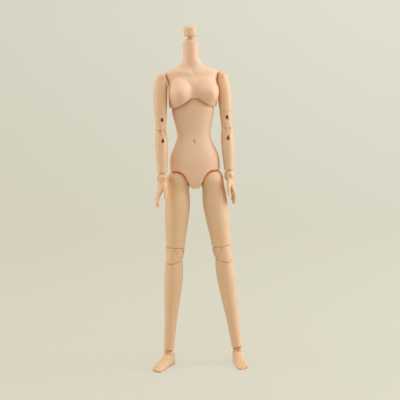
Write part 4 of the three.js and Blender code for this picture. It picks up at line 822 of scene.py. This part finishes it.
elbowSpan = spanOf("left_elbow_upper", "left_elbow_lower")
armParts = {"upper_arm": upperArm(), "elbow_sleeve": elbowSleeve(), "elbow_link": elbowLink(),
            "forearm": forearmPiece()}
shoulderPin = pinRod(arm["pin"]["radius"], arm["pin"]["half"], "X")
elbowPin = pinRod(elbow["pin"]["radius"], elbow["pin"]["half"])
toAxis = Matrix.Translation((0, elbow["forward"], 0))  # from the elbow pins back to the arm's own axis
for side, way in sides.items():
    armUp, lowerUp = [axisOf(f"{side}_{joint}", (0, 0, 1)) for joint in ("arm_twist", "wrist_turn")]
    raised = axisOf(f"{side}_shoulder_raise", (0, 1, 0)).cross(armUp)
    hinge = axisOf(f"{side}_elbow_upper", (way, 0, 0))
    upper, lower = [spotOf(f"{side}_elbow_{end}") for end in ("upper", "lower")]
    shoulderSeat = seatAt(spotOf(f"{side}_shoulder_raise"), armUp, raised * math.copysign(1, raised.x * way))
    upperSeat, lowerSeat = seatAt(upper, armUp, hinge), seatAt(lower, lowerUp, hinge)
    placeAll(side, [
        ("upper_arm", armParts["upper_arm"], shoulderSeat, "upper_arm", *limbLook),
        ("shoulder_pin", shoulderPin, shoulderSeat, "upper_arm", limbPlastic, "neck_plastic"),
        ("elbow_sleeve", armParts["elbow_sleeve"], upperSeat @ toAxis, "elbow_sleeve", *limbLook),
        ("elbow_upper_pin", elbowPin, upperSeat, "elbow_sleeve", *pinLook),
        ("elbow_link", armParts["elbow_link"], seatAt(upper, upper - lower, hinge), "elbow_link", *pinLook),
        ("forearm", armParts["forearm"], lowerSeat @ toAxis, "forearm", *limbLook),
        ("elbow_lower_pin", elbowPin, lowerSeat, "forearm", *pinLook),
    ])
print("arms made")


# Hands, drawn from the wrist's centre: a knob, a palm, four fingers and a thumb
hand = {
    "length": 19.8,
    "palm": 10.2,
    "knob": {"half": 3.45, "rise": 3.75, "round": 2.9},
    "x": [(-10.2, 0.75), (-4, 0.3), (1, 0)],
    "y": [(-10.2, -0.1), (0, 0)],
    "out": [(-10.2, 1.45), (-6, 1.95), (-3, 2.3), (1, 2.3)],
    "front": [(-10.2, 4), (-6.5, 3.9), (-3, 3), (1, 2.5)],
    "spread": [-2.95, -1, 0.95, 2.85],
    "shorter": [1.2, 0, 0.8, 2.8],
    "finger": (1.25, 0.82),
    "knuckle": {"rise": 0.07, "wide": 0.07},
    "curl": {"first": 1.5, "less": 0.15},
    "thumb": [(-0.7, -1.9, -3.2), (-2.1, -4.1, -7.6), (-2.5, -5.3, -12.4)],
    "thumbSize": (1.8, 1),
    "voxel": 0.2,
    "bend": {"left": 3, "right": 10},
    "slot": {"half": 1.15, "floor": -2},
    "pin": {"radius": 0.7, "half": 3.15, "gap": 0.04},
}


def barrel(radius, half, roundness):
    # a solid turned about Z, between a ball (roundness 2) and a drum
    power = 2 / roundness
    turns = [math.radians(-90 + 6 * k) for k in range(31)]
    return spun([(bulge(max(0, math.cos(t)), power) * radius, bulge(math.sin(t), power) * half)
                 for t in turns])


def alongThree(points, t):
    # a curve through three points, with its direction
    a, b, c = [Vector(p) for p in points]
    control = 2 * b - (a + c) / 2
    spot = (1 - t) ** 2 * a + 2 * t * (1 - t) * control + t * t * c
    return spot, (2 * (1 - t) * (control - a) + 2 * t * (c - control)).normalized()


def fingerPiece(points, start, tip, joints=(0.42, 0.72)):
    # a tapered tube with knuckles and a round tip
    steps, tipSteps, knuckle = 26, 8, hand["knuckle"]
    mesh = unitTube(steps + tipSteps + 1, 20)
    for vert in mesh.verts:
        k = round(vert.co.z)
        t = min(1, k / steps)
        centre, along = alongThree(points, t)
        size = start + (tip - start) * t
        size *= 1 + knuckle["rise"] * sum(bell(t - joint, knuckle["wide"]) for joint in joints)
        over = max(0, k - steps) / tipSteps
        if over:
            size *= math.cos(over * math.pi / 2 * 0.97)
            centre = centre + along * tip * math.sin(over * math.pi / 2)
        turn = along.to_track_quat("Z", "Y")
        vert.co = centre + turn @ Vector((vert.co.x * size, vert.co.y * size, 0))
    return facingOut(mesh)


def handPiece():
    skin = skinOf(hand, "x", "y", "out", "front")
    parts = [loft([(skin, z, 0) for z in evenSteps(-hand["palm"], 1, 0.5)], 56)]
    knob = hand["knob"]
    parts.append(barrel(knob["half"], knob["rise"], knob["round"]))
    knuckles, tipHeight = -hand["palm"], -hand["length"]
    for i, (y, short) in enumerate(zip(hand["spread"], hand["shorter"])):
        end = tipHeight + short
        curl = hand["curl"]["first"] - hand["curl"]["less"] * i
        points = [(0.75, y, knuckles + 1.6), (curl + 0.35, y * 1.02, (knuckles + end) / 2),
                  (curl - 0.5, y * 1.04, end + 0.8)]
        parts.append(fingerPiece(points, *hand["finger"]))
    parts.append(fingerPiece(hand["thumb"], *hand["thumbSize"], joints=(0.5,)))
    whole = bmesh.new()
    for part in parts:
        data = bpy.data.meshes.new("part")
        part.to_mesh(data)
        whole.from_mesh(data)
        bpy.data.meshes.remove(data)
    mesh = worked(whole, [
        ("REMESH", {"mode": "VOXEL", "voxel_size": hand["voxel"], "use_smooth_shade": True}),
        ("SMOOTH", {"factor": 0.5, "iterations": 7}),
    ])
    slot, pin = hand["slot"], hand["pin"]
    window = block((-6, -slot["half"], slot["floor"]), (6, slot["half"], 6))
    hole = rod(pin["radius"] + pin["gap"], (0, -6, 0), (0, 6, 0), 28)
    return softened(cut(mesh, window, hole), width=0.1, angle=50, weld=0.03)


handMesh = handPiece()
wristPin = pinRod(hand["pin"]["radius"], hand["pin"]["half"], "X")
for side, way in sides.items():
    bendAxis = axisOf(f"{side}_wrist_bend", (0, 1, 0))
    forearmUp = axisOf(f"{side}_wrist_turn", (0, 0, 1))
    # the hand hangs a few degrees out from the forearm's line
    handUp = Matrix.Rotation(math.radians(-way * hand["bend"][side]), 3, bendAxis) @ forearmUp
    acrossHand = bendAxis.cross(handUp)
    handSeat = seatAt(spotOf(f"{side}_wrist_bend"), handUp, acrossHand * math.copysign(1, acrossHand.x * way))
    place(f"{side}_hand", handMesh, handSeat, f"{side}_hand", *limbLook, angle=60)
    placeAll(side, [("wrist_pin", wristPin, handSeat, "hand", *pinLook)])
print("hands made")


# Thighs. Heights are over the hip's centre
thigh = {
    "out": [(-46.1, 6.35), (-38, 7.2), (-27, 8.3), (-18, 8.7), (-10, 8.5), (-5, 8.2), (0, 8.25)],
    "inn": [(-46.1, 6.7), (-38, 7.1), (-27, 7.9), (-17, 8.2), (-12, 7.7), (-8.5, 7.1), (-5.5, 6.9), (-3, 7.4),
            (0, 8.25)],
    "front": [(-46.1, 6.9), (-38, 7.5), (-28, 8.3), (-19, 8.6), (-12, 8.2), (-7.5, 7.7), (-3, 7.75),
              (0, 8.25)],
    "back": [(-46.1, 6.5), (-38, 6.9), (-28, 8), (-18, 9.1), (-10, 9), (-5, 8.2), (0, 8.25)],
    "head": 8.25,
    "headRound": 2.1,
    "kneeRise": 2.6,
    "well": {"radius": 4.1, "floor": -4.6},
    "peg": 1.5,
    "twist": (47, -2),
    "stem": {"radius": 1.85, "length": 12},
    "tongue": {"half": 2.3, "radius": 2.2},
    "pinGap": 0.1,
    # the sunk dot at the knee's inner corner: a hole between two spots, and its floor's radius and place
    "dot": {"radius": 0.68, "from": (-7.5, -5.2), "to": (-5.2, 0.8), "drop": 0.2, "sunk": (0.62, -6, -1.7)},
}
knee = {
    "out": [(-12.8, 6), (-5.8, 5.65), (-4, 5.7), (3, 6.35)],
    "inn": [(-12.8, 6.1), (-5.8, 6.1), (-4, 6.3), (3, 6.9)],
    "front": [(-13.8, 6.7), (-6.8, 7), (3, 7)],
    "back": [(-13.8, 7), (-6.8, 6.6), (3, 6.6)],
    "top": 2.3,
    "bottom": 1.9,
    "behind": 2.3,
    "pin": {"radius": 0.9, "upper": 5.78, "lower": 5.6, "gap": 0.05},
    "cap": {"topHalf": 2.8, "wideHalf": 5.9, "wideDrop": 4.6, "tip": 9, "thick": 1.1, "back": -2.4},
    "tongue": {"half": 2.3, "radius": 2},
    "slotHalf": 2.55,
    "room": {"block": 0.1, "shin": 0.2},
}
shin = {
    "out": [(-64.25, 3.66), (-49, 4.05), (-38, 4.7), (-28, 5.45), (-14, 6.35), (-5, 6.1), (2, 5.6)],
    "front": [(-64.25, 3.55), (-49, 4), (-28, 5.3), (-14, 6.3), (-6, 6.6), (2, 6.6)],
    "back": [(-64.25, 3.75), (-49, 4.5), (-30, 6.4), (-16, 7.5), (-8, 7.2), (0, 6.3), (2, 6.2)],
    "top": 1.6,
    "behind": [(1.9, -1.9), (3.2, -2.4), (9, -1.6)],
    "bottom": -64.25,
    "bore": {"radius": 1.35, "length": 10.95},
}
kneeSpan = spanOf("left_knee_upper", "left_knee_lower")
thighLength = spanOf("left_hip_swing", "left_knee_upper")


def tongueEye(shape, height):
    # a round eye at the foot of a short neck
    radius, neckTop = shape["radius"], height + 7
    outline = [(-radius, neckTop)] + arc((0, height), radius, 180, 360, 18) + [(radius, neckTop)]
    return plate(outline, -shape["half"], shape["half"], across="Y")


def dotHole(foot):
    # the small dark hole at the knee's inner corner, half in the thigh and half in the block
    dot = thigh["dot"]
    spots = [(*dot[end], foot - dot["drop"]) for end in ("from", "to")]
    return rod(dot["radius"], *spots, 20)


def dotFloor():
    radius, x, y = thigh["dot"]["sunk"]
    return ball(radius, (x, y, thigh["kneeRise"] - thighLength - thigh["dot"]["drop"]), 20)


def thighPiece():
    skin = skinOf(thigh, "out", "inn", "front", "back")
    bottom = -thighLength + thigh["kneeRise"]
    head, power = thigh["head"], 2 / thigh["headRound"]
    dome = curvesOf({"out": 1, "front": 1})
    rings = ringsAlong(skin, bottom, 0, 0.75, lipLow=0.3)
    turns = [math.pi / 2 * k / 20 for k in range(1, 21)]
    rings += [(dome, head * math.sin(t) ** power, 1 - max(0.02, head * math.cos(t) ** power)) for t in turns]
    mesh = joined(loft(rings, 112), tongueEye(thigh["tongue"], -thighLength))
    well, half, stem = thigh["well"], thigh["peg"], thigh["stem"]
    first, last = thigh["twist"]
    # a fan of bars gives the peg its room to twist
    fan = [swung(block((-12, -half, -half), (0, half, 12)), -(first + (last - first) * k / 5))
           for k in range(6)]
    return softened(cut(
        mesh,
        rod(well["radius"], (0, 0, well["floor"]), (0, 0, 12), 48),
        *fan,
        rod(stem["radius"], (0, 0, well["floor"] - stem["length"]), (0, 0, 0), 28),
        crossRod(knee["pin"]["radius"] + thigh["pinGap"], -thighLength),
        dotHole(bottom),
    ), width=0.14)


# Knees, drawn from the upper pin; the lower one is kneeSpan below
def kneeBody(shrink):
    skin = skinOf(knee, "out", "inn", "front", "back")
    return loft([(skin, z, shrink) for z in evenSteps(-kneeSpan - 6, 3, 0.5)], 96)


def kneecapPlate(extra):
    cap = knee["cap"]
    top, wide, tip = knee["top"] + extra, -cap["wideDrop"], -cap["tip"] - extra
    half, topHalf = cap["wideHalf"] + extra, cap["topHalf"] + extra
    outline = [(topHalf, top), (-topHalf, top), (-half, wide + 0.6)]
    outline += bend(outline[-1], (-half - 0.2, wide - 2.2), (-3.4, tip), (0, tip), 24)
    outline += bend((0, tip), (3.4, tip), (half + 0.2, wide - 2.2), (half, wide + 0.6), 24)
    return plate(outline, -12, 1.3 * extra + cap["back"])


def kneecapPiece():
    cap = cut(common(kneeBody(0), kneecapPlate(0)), kneeBody(knee["cap"]["thick"]))
    return softened(cap, width=0.28, angle=50)


def kneecapRecess(room):
    return cut(kneecapPlate(room), kneeBody(knee["cap"]["thick"] + room))


def kneeBlock():
    lower, top = -kneeSpan, knee["top"]
    outline = [(-9, lower + knee["bottom"]), (knee["behind"], lower + knee["bottom"]), (knee["behind"], 0)]
    outline += arc((0, 0), top, 0, 90, 14)[1:] + [(-9, top)]
    cheeks = common(kneeBody(0), plate(outline, -9, 9, across="Y"))
    eye = cut(tongueEye(knee["tongue"], lower), block((-9, -9, -4), (9, 9, 9)))
    cheeks = cut(cheeks, block((-knee["slotHalf"], -2.5, -2.6), (knee["slotHalf"], 9, 9)))
    bore = knee["pin"]["radius"] + knee["pin"]["gap"]
    recess = kneecapRecess(knee["room"]["block"])
    holes = [dotHole(thigh["kneeRise"]), crossRod(bore, 0), crossRod(bore, lower)]
    return softened(cut(joined(cheeks, eye), recess, *holes))


# Shins, drawn from the lower knee pin
def shinPiece():
    skin = skinOf(shin, "out", "front", "back")
    top, bottom, bore = shin["top"], shin["bottom"], shin["bore"]
    mesh = loft(ringsAlong(skin, bottom, top, 0.8, lipLow=0.4), 104)
    behind = [(0, top + 1)] + arc((0, 0), top, 90, 0, 14) + shin["behind"] + [(9, top + 1)]
    recess = turned(kneecapRecess(knee["room"]["shin"]), Matrix.Translation((0, 0, kneeSpan)))
    return softened(cut(
        mesh,
        plate(behind, -9, 9, across="Y"),
        block((-knee["slotHalf"], -2.4, -2.4), (knee["slotHalf"], 9, top + 2)),
        recess,
        crossRod(knee["pin"]["radius"] + knee["pin"]["gap"], 0),
        rod(bore["radius"], (0, 0, bottom - 1), (0, 0, bottom + bore["length"]), 28),
    ), width=0.15)


# Feet, drawn from the ankle's centre, with the toes at -Y
foot = {
    "ankle": 8.6,
    # (y, half width, top, bottom) with heights over the floor
    "stations": [(5.6, 1.5, 5.6, 1.4), (5.1, 2.2, 7.4, 0.8), (4, 2.9, 8.4, 0.6), (2.2, 3.4, 8.7, 0.6),
                 (-1, 3.65, 8.7, 0.6), (-2.9, 3.75, 8.5, 0.6), (-4.4, 3.75, 7.9, 0.6), (-6.5, 3.8, 7.1, 0.6),
                 (-9.5, 3.95, 6.1, 0.6), (-14.5, 4.15, 4.7, 0.6), (-18, 4.1, 3.7, 0.6), (-20, 3.65, 3, 0.6),
                 (-20.9, 3.1, 2.5, 0.9), (-21.3, 2.3, 2, 1.3)],
    "boxy": (2.3, 4.6),
    "boxyFrom": (-5, -1.5),
    "slant": {"share": 1.3, "from": -14, "over": 9},
    "top": (-0.1, -0.8),
    "barrel": {"half": 3.35, "radius": 2.6, "round": 3, "room": 0.08},
    "tongueSlot": (2.2, 1.05, -1.8),
    "pit": {"half": 0.75, "low": 0.2, "high": 0.9, "depth": 0.9},
    "pin": {"radius": 0.66, "half": 2.25},
    "toes": [(-0.3, 0.5), (0.06, 0.45), (0.38, 0.4), (0.66, 0.32)],
    "toeWide": 0.085,
    "toeStart": -17,
    "toeFade": 1.6,
    "widest": 1.6,
    "turnIn": {"left": 0, "right": -2},
}


def ankleBarrel(room=0):
    shape = foot["barrel"]
    return swung(barrel(shape["radius"] + room, shape["half"] + room, shape["round"]), 90, "Y")


def anklePiece():
    wide, deep, floor = foot["tongueSlot"]
    pit, pin, front = foot["pit"], foot["pin"], -foot["barrel"]["radius"]
    return softened(cut(
        ankleBarrel(),
        block((-wide, -deep, floor), (wide, deep, 9)),
        block((-pit["half"], front - 1, pit["low"]), (pit["half"], front + pit["depth"], pit["high"])),
        rod(pin["radius"], (0, -pin["half"], 0), (0, pin["half"], 0), 24),
    ), width=0.08)


def footPiece():
    knots = sorted(foot["stations"])
    half, top, low = [curveThrough([(row[0], row[k]) for row in knots]) for k in (1, 2, 3)]
    heel, toe = knots[-1][0], knots[0][0]
    ys = ([heel, heel - 0.1, heel - 0.3, heel - 0.5] + evenSteps(heel - 0.8, -16, 0.32)
          + evenSteps(-16.2, toe + 0.2, 0.16) + [toe + 0.1, toe])
    mesh = unitTube(len(ys), 144)
    (soft, hard), (first, last), lean = foot["boxy"], foot["boxyFrom"], foot["slant"]
    for vert in mesh.verts:
        y = ys[round(vert.co.z)]
        turn = math.atan2(vert.co.y, vert.co.x)
        c, s = math.cos(turn), math.sin(turn)
        boxy = 2 / (soft + (hard - soft) * min(1, max(0, (y - first) / (last - first))))
        wide, high, floor = half(y), top(y), low(y)
        middle = max(floor + 0.4, foot["widest"])
        across = bulge(c, boxy) * wide
        up = s ** boxy * (high - middle) if s > 0 else -((-s) ** 0.7) * (middle - floor + 1)
        slant = (across / wide) * lean["share"] * max(0, lean["from"] - y) / lean["over"]
        fade = min(1, max(0, (foot["toeStart"] - y) / foot["toeFade"])) * max(0, s) ** 0.5
        nick = sum(depth * bell(across / wide - spot, foot["toeWide"]) for spot, depth in foot["toes"])
        vert.co = Vector((across, y + slant, max(0, middle + up - nick * fade) - foot["ankle"]))
    bmesh.ops.remove_doubles(mesh, verts=mesh.verts, dist=0.001)
    frontTop, backTop = foot["top"]
    lid = plate([(-30, frontTop), (-3, frontTop), (8, backTop), (8, 9), (-30, 9)], -20, 20, across="Y")
    whole = cut(facingOut(mesh), lid, ankleBarrel(foot["barrel"]["room"]))
    return softened(whole, width=0.15, angle=50, above=-2.5)


legParts = {"thigh": thighPiece(), "knee_block": kneeBlock(), "kneecap": kneecapPiece(), "shin": shinPiece(),
            "ankle_ball": anklePiece(), "foot": footPiece()}
kneeDot = dotFloor()
kneePins = {end: pinRod(knee["pin"]["radius"], knee["pin"][end]) for end in ("upper", "lower")}
for side, way in sides.items():
    hinge, flex = [axisOf(f"{side}_{joint}", (way, 0, 0)) for joint in ("knee_upper", "ankle_flex")]
    upper, lower = [spotOf(f"{side}_knee_{end}") for end in ("upper", "lower")]
    thighSeat = seatAt(spotOf(f"{side}_thigh_twist"), axisOf(f"{side}_thigh_twist", (0, 0, 1)), hinge)
    kneeSeat = seatAt(upper, upper - lower, hinge)
    shinSeat = seatAt(lower, axisOf(f"{side}_ankle_turn", (0, 0, 1)), hinge)
    turnIn = Matrix.Rotation(math.radians(foot["turnIn"][side]), 4, "Z")
    footSeat = seatAt(spotOf(f"{side}_ankle_flex"), Vector((0, 0, 1)), flex) @ turnIn
    placeAll(side, [(part, legParts[part], seat, body, *limbLook) for part, seat, body in (
        ("thigh", thighSeat, "thigh"), ("knee_block", kneeSeat, "knee"), ("kneecap", kneeSeat, "knee"),
        ("shin", shinSeat, "shin"), ("ankle_ball", footSeat, "ankle_ball"), ("foot", footSeat, "foot"))])
    place(f"{side}_knee_dot", kneeDot, thighSeat, f"{side}_thigh", innerPlastic, "inner_plastic",
          f"{side}_thigh")
    placeAll(side, [("knee_upper_pin", kneePins["upper"], kneeSeat, "knee", *pinLook),
                    ("knee_lower_pin", kneePins["lower"], shinSeat, "shin", *pinLook)])
print("legs made")


# Neck, drawn from the centre of its ball
neck = {
    "ball": 3.6,
    "cup": {"outer": 4.34, "bottom": -10, "rim": 1.2, "socket": 3.84, "mouth": 3.7},
    "notch": {"half": 0.7, "depth": -0.1, "turn": 42},
    "stem": {"radius": 2.05, "tall": 5.2, "barb": 0.5, "barbTall": 1.2},
    "plug": {"radius": 4.38, "length": 6.9, "lift": 4.25, "soft": 2, "foot": 1, "bore": 2.2, "inside": 5.5,
             "ledge": 1.8},
    "split": {"half": 0.35, "low": 1.2, "high": 4.2},
}


def neckCollar():
    cup, notch = neck["cup"], neck["notch"]
    outer, bottom, rim, mouth = cup["outer"], cup["bottom"], cup["rim"], cup["mouth"]
    profile = [(0, bottom), (outer - 0.2, bottom), (outer, bottom + 0.2), (outer, rim - 0.15),
               (outer - 0.15, rim), (mouth + 0.1, rim), (mouth, rim - 0.12)]
    start = math.degrees(math.acos(mouth / cup["socket"]))
    profile += arc((0, 0), cup["socket"], start, -90, 24)
    gate = swung(block((-9, -notch["half"], notch["depth"]), (0, notch["half"], 3)), notch["turn"])
    return softened(cut(spun(profile), gate), width=0.1)


def neckLink():
    shape, split, reach, lift = neck["stem"], neck["split"], neck["ball"], neck["plug"]["lift"]
    stem, top = shape["radius"], lift + shape["tall"]
    barb = top - shape["barbTall"]
    profile = arc((0, 0), reach, -90, math.degrees(math.acos(stem / reach)), 32)
    profile += [(stem + 0.05, math.sqrt(reach ** 2 - stem ** 2) + 0.25), (stem, lift - 0.8), (stem, barb),
                (stem + shape["barb"], barb), (stem, top), (0, top)]
    gap = block((-6, -split["half"], split["low"]), (6, split["half"], split["high"]))
    return softened(cut(spun(profile), gap), width=0.1)


def headPlug():
    plug = neck["plug"]
    bottom, radius, soft, low, bore = [plug[key] for key in ("lift", "radius", "soft", "foot", "bore")]
    top, inner = bottom + plug["length"], bottom + plug["inside"]
    ledge, wide = inner - plug["ledge"], bore + neck["stem"]["barb"]
    profile = [(0, top)] + arc((radius - soft, top - soft), soft, 90, 0, 14)
    profile += arc((radius - low, bottom + low), low, 0, -90, 10)
    profile += [(bore + 0.2, bottom), (bore, bottom + 0.2), (bore, ledge), (wide, ledge), (wide, inner),
                (0, inner)]
    return spun(profile)


neckSeat = seatAt(spotOf("neck_turn"), axisOf("neck_turn", (0, 0, 1)), axisOf("neck_nod", (1, 0, 0)))
for part, mesh, body in (("neck_collar", neckCollar(), "neck_base"), ("neck_link", neckLink(), "neck"),
                         ("head_plug", headPlug(), "head_mount")):
    place(part, mesh, neckSeat, body, *pinLook)
print("neck made")


# Inner frames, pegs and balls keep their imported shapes, with a finish of their own
for node in frame["nodes"].values():
    if not node.hide_render:
        for slot in node.material_slots:
            slot.material = innerPlastic


# Stage: a plain sweep, soft lamps and the camera
stage = {
    # colours of the paper at the left and the right; the right ones are lighter, painted light of the
    # stronger right lamp
    "floor": ("#D6D2C0", "#DDD9C8"),
    "wall": ("#DAD7C7", "#E4E1D3"),
    "even": 0.76,
    "front": -2.0,
    "depth": 0.9,
    "wide": 3.2,
    "height": 1.7,
    "round": 0.35,
}


def seenOn(finish):
    # 1 for what the eye, a mirror or a clear piece sees, 0 for the light that falls on the doll
    paths = [finish.add("ShaderNodeLightPath", out=k) for k in (0, 3, 6)]
    return paths[0] + paths[1] + paths[2]


def sweepFinish():
    # the paper is mostly an even colour to the eye, so that lamps leave no patches on it
    finish = Finish("sweepPaper", {"Roughness": 0.9, "Specular IOR Level": 0.1, "Emission Strength": 1.0})
    place = finish.add("ShaderNodeTexCoord", out=3)
    parts = [finish.add("ShaderNodeSeparateXYZ", values={"Vector": place}, out=k) for k in (0, 2)]
    across = finish.add("ShaderNodeMapRange", values={"Value": parts[0], 1: -0.25, 2: 0.25})
    rise = finish.add("ShaderNodeMapRange", values={"Value": parts[1], 1: 0.0, 2: 0.25})
    # painted light: to the eye the paper is lighter towards the right, where the stronger lamp stands; the
    # wall is a little lighter than the floor
    floor, wall = [finish.blended(across, *[tone(code) for code in stage[key]]) for key in ("floor", "wall")]
    paper = finish.blended(rise, floor, wall)
    seen = seenOn(finish) * stage["even"]
    finish.feed("Base Color", finish.blended(seen, paper, black))
    finish.feed("Emission Color", finish.blended(seen, black, paper))
    return finish.material


def paperSweep():
    mesh = bmesh.new()
    wide, depth = stage["wide"], stage["depth"]
    corners = [(stage["front"], 0), (depth, 0), (depth, stage["height"])]
    verts = [mesh.verts.new((-wide / 2, *corner)) for corner in corners]
    for pair in zip(verts, verts[1:]):
        mesh.edges.new(pair)
    bmesh.ops.bevel(mesh, geom=[verts[1]], offset=stage["round"], segments=24, profile=0.5,
                    affect="VERTICES", material=-1)
    grown = bmesh.ops.extrude_edge_only(mesh, edges=mesh.edges[:])["geom"]
    bmesh.ops.translate(mesh, verts=vertsIn(grown), vec=(wide, 0, 0))
    for face in facingOut(mesh).faces:
        face.smooth = True
    sweep = meshObject("paper_sweep", mesh)
    sweep.data.materials.append(sweepFinish())


lampAim = (0, 0, 0.13)
lamps = [
    # name, place, width, height, power in watts, colour
    ("left_softbox", (-0.8, 0.0, 0.35), 0.5, 0.9, 2.8, (1.03, 0.99, 0.9)),
    ("right_softbox", (0.8, -0.05, 0.42), 0.5, 0.9, 5.2, (0.96, 0.985, 1.1)),
    ("top_softbox", (0.1, -0.35, 0.95), 0.7, 0.7, 2.9, (1, 1, 1)),
]


def softLamp(name, spot, wide, high, power, colour):
    data = bpy.data.lights.new(name, "AREA")
    data.shape = "RECTANGLE"
    data.size, data.size_y, data.energy, data.color = wide, high, power, colour
    lamp = linked(name, data)
    lamp.location = spot
    lamp.rotation_euler = (Vector(lampAim) - Vector(spot)).to_track_quat("-Z", "Y").to_euler()


air = {"light": "#FBFAF5", "strength": 0.54, "beyond": "#D9D6C7"}


def roomAir():
    # even light from all round, and beyond the paper's edge the paper's own tone
    finish = Finish("room", {"Strength": air["strength"]}, "worlds", "Background")
    beyond = [value / air["strength"] for value in tone(air["beyond"])[:3]] + [1]
    finish.feed("Color", finish.blended(seenOn(finish), tone(air["light"]), beyond))
    return finish.material


view = {"distance": 0.9, "height": 0.24, "aside": 0.002346, "pitch": 7.82, "roll": -2.3, "lens": 119.25}


def photoCamera():
    data = bpy.data.cameras.new("photo_view")
    data.lens, data.sensor_width = view["lens"], 36
    camera = linked("photo_view", data)
    waist = spotOf("waist_turn")
    spot = Matrix.Translation((waist.x + view["aside"], waist.y - view["distance"], view["height"]))
    camera.matrix_world = (spot @ Matrix.Rotation(math.radians(90 - view["pitch"]), 4, "X")
                           @ Matrix.Rotation(math.radians(view["roll"]), 4, "Z"))
    bpy.context.scene.camera = camera


paperSweep()
for lamp in lamps:
    softLamp(*lamp)
photoCamera()
bpy.context.scene.world = roomAir()
bpy.context.scene.view_settings.view_transform = "Standard"
print("stage set")
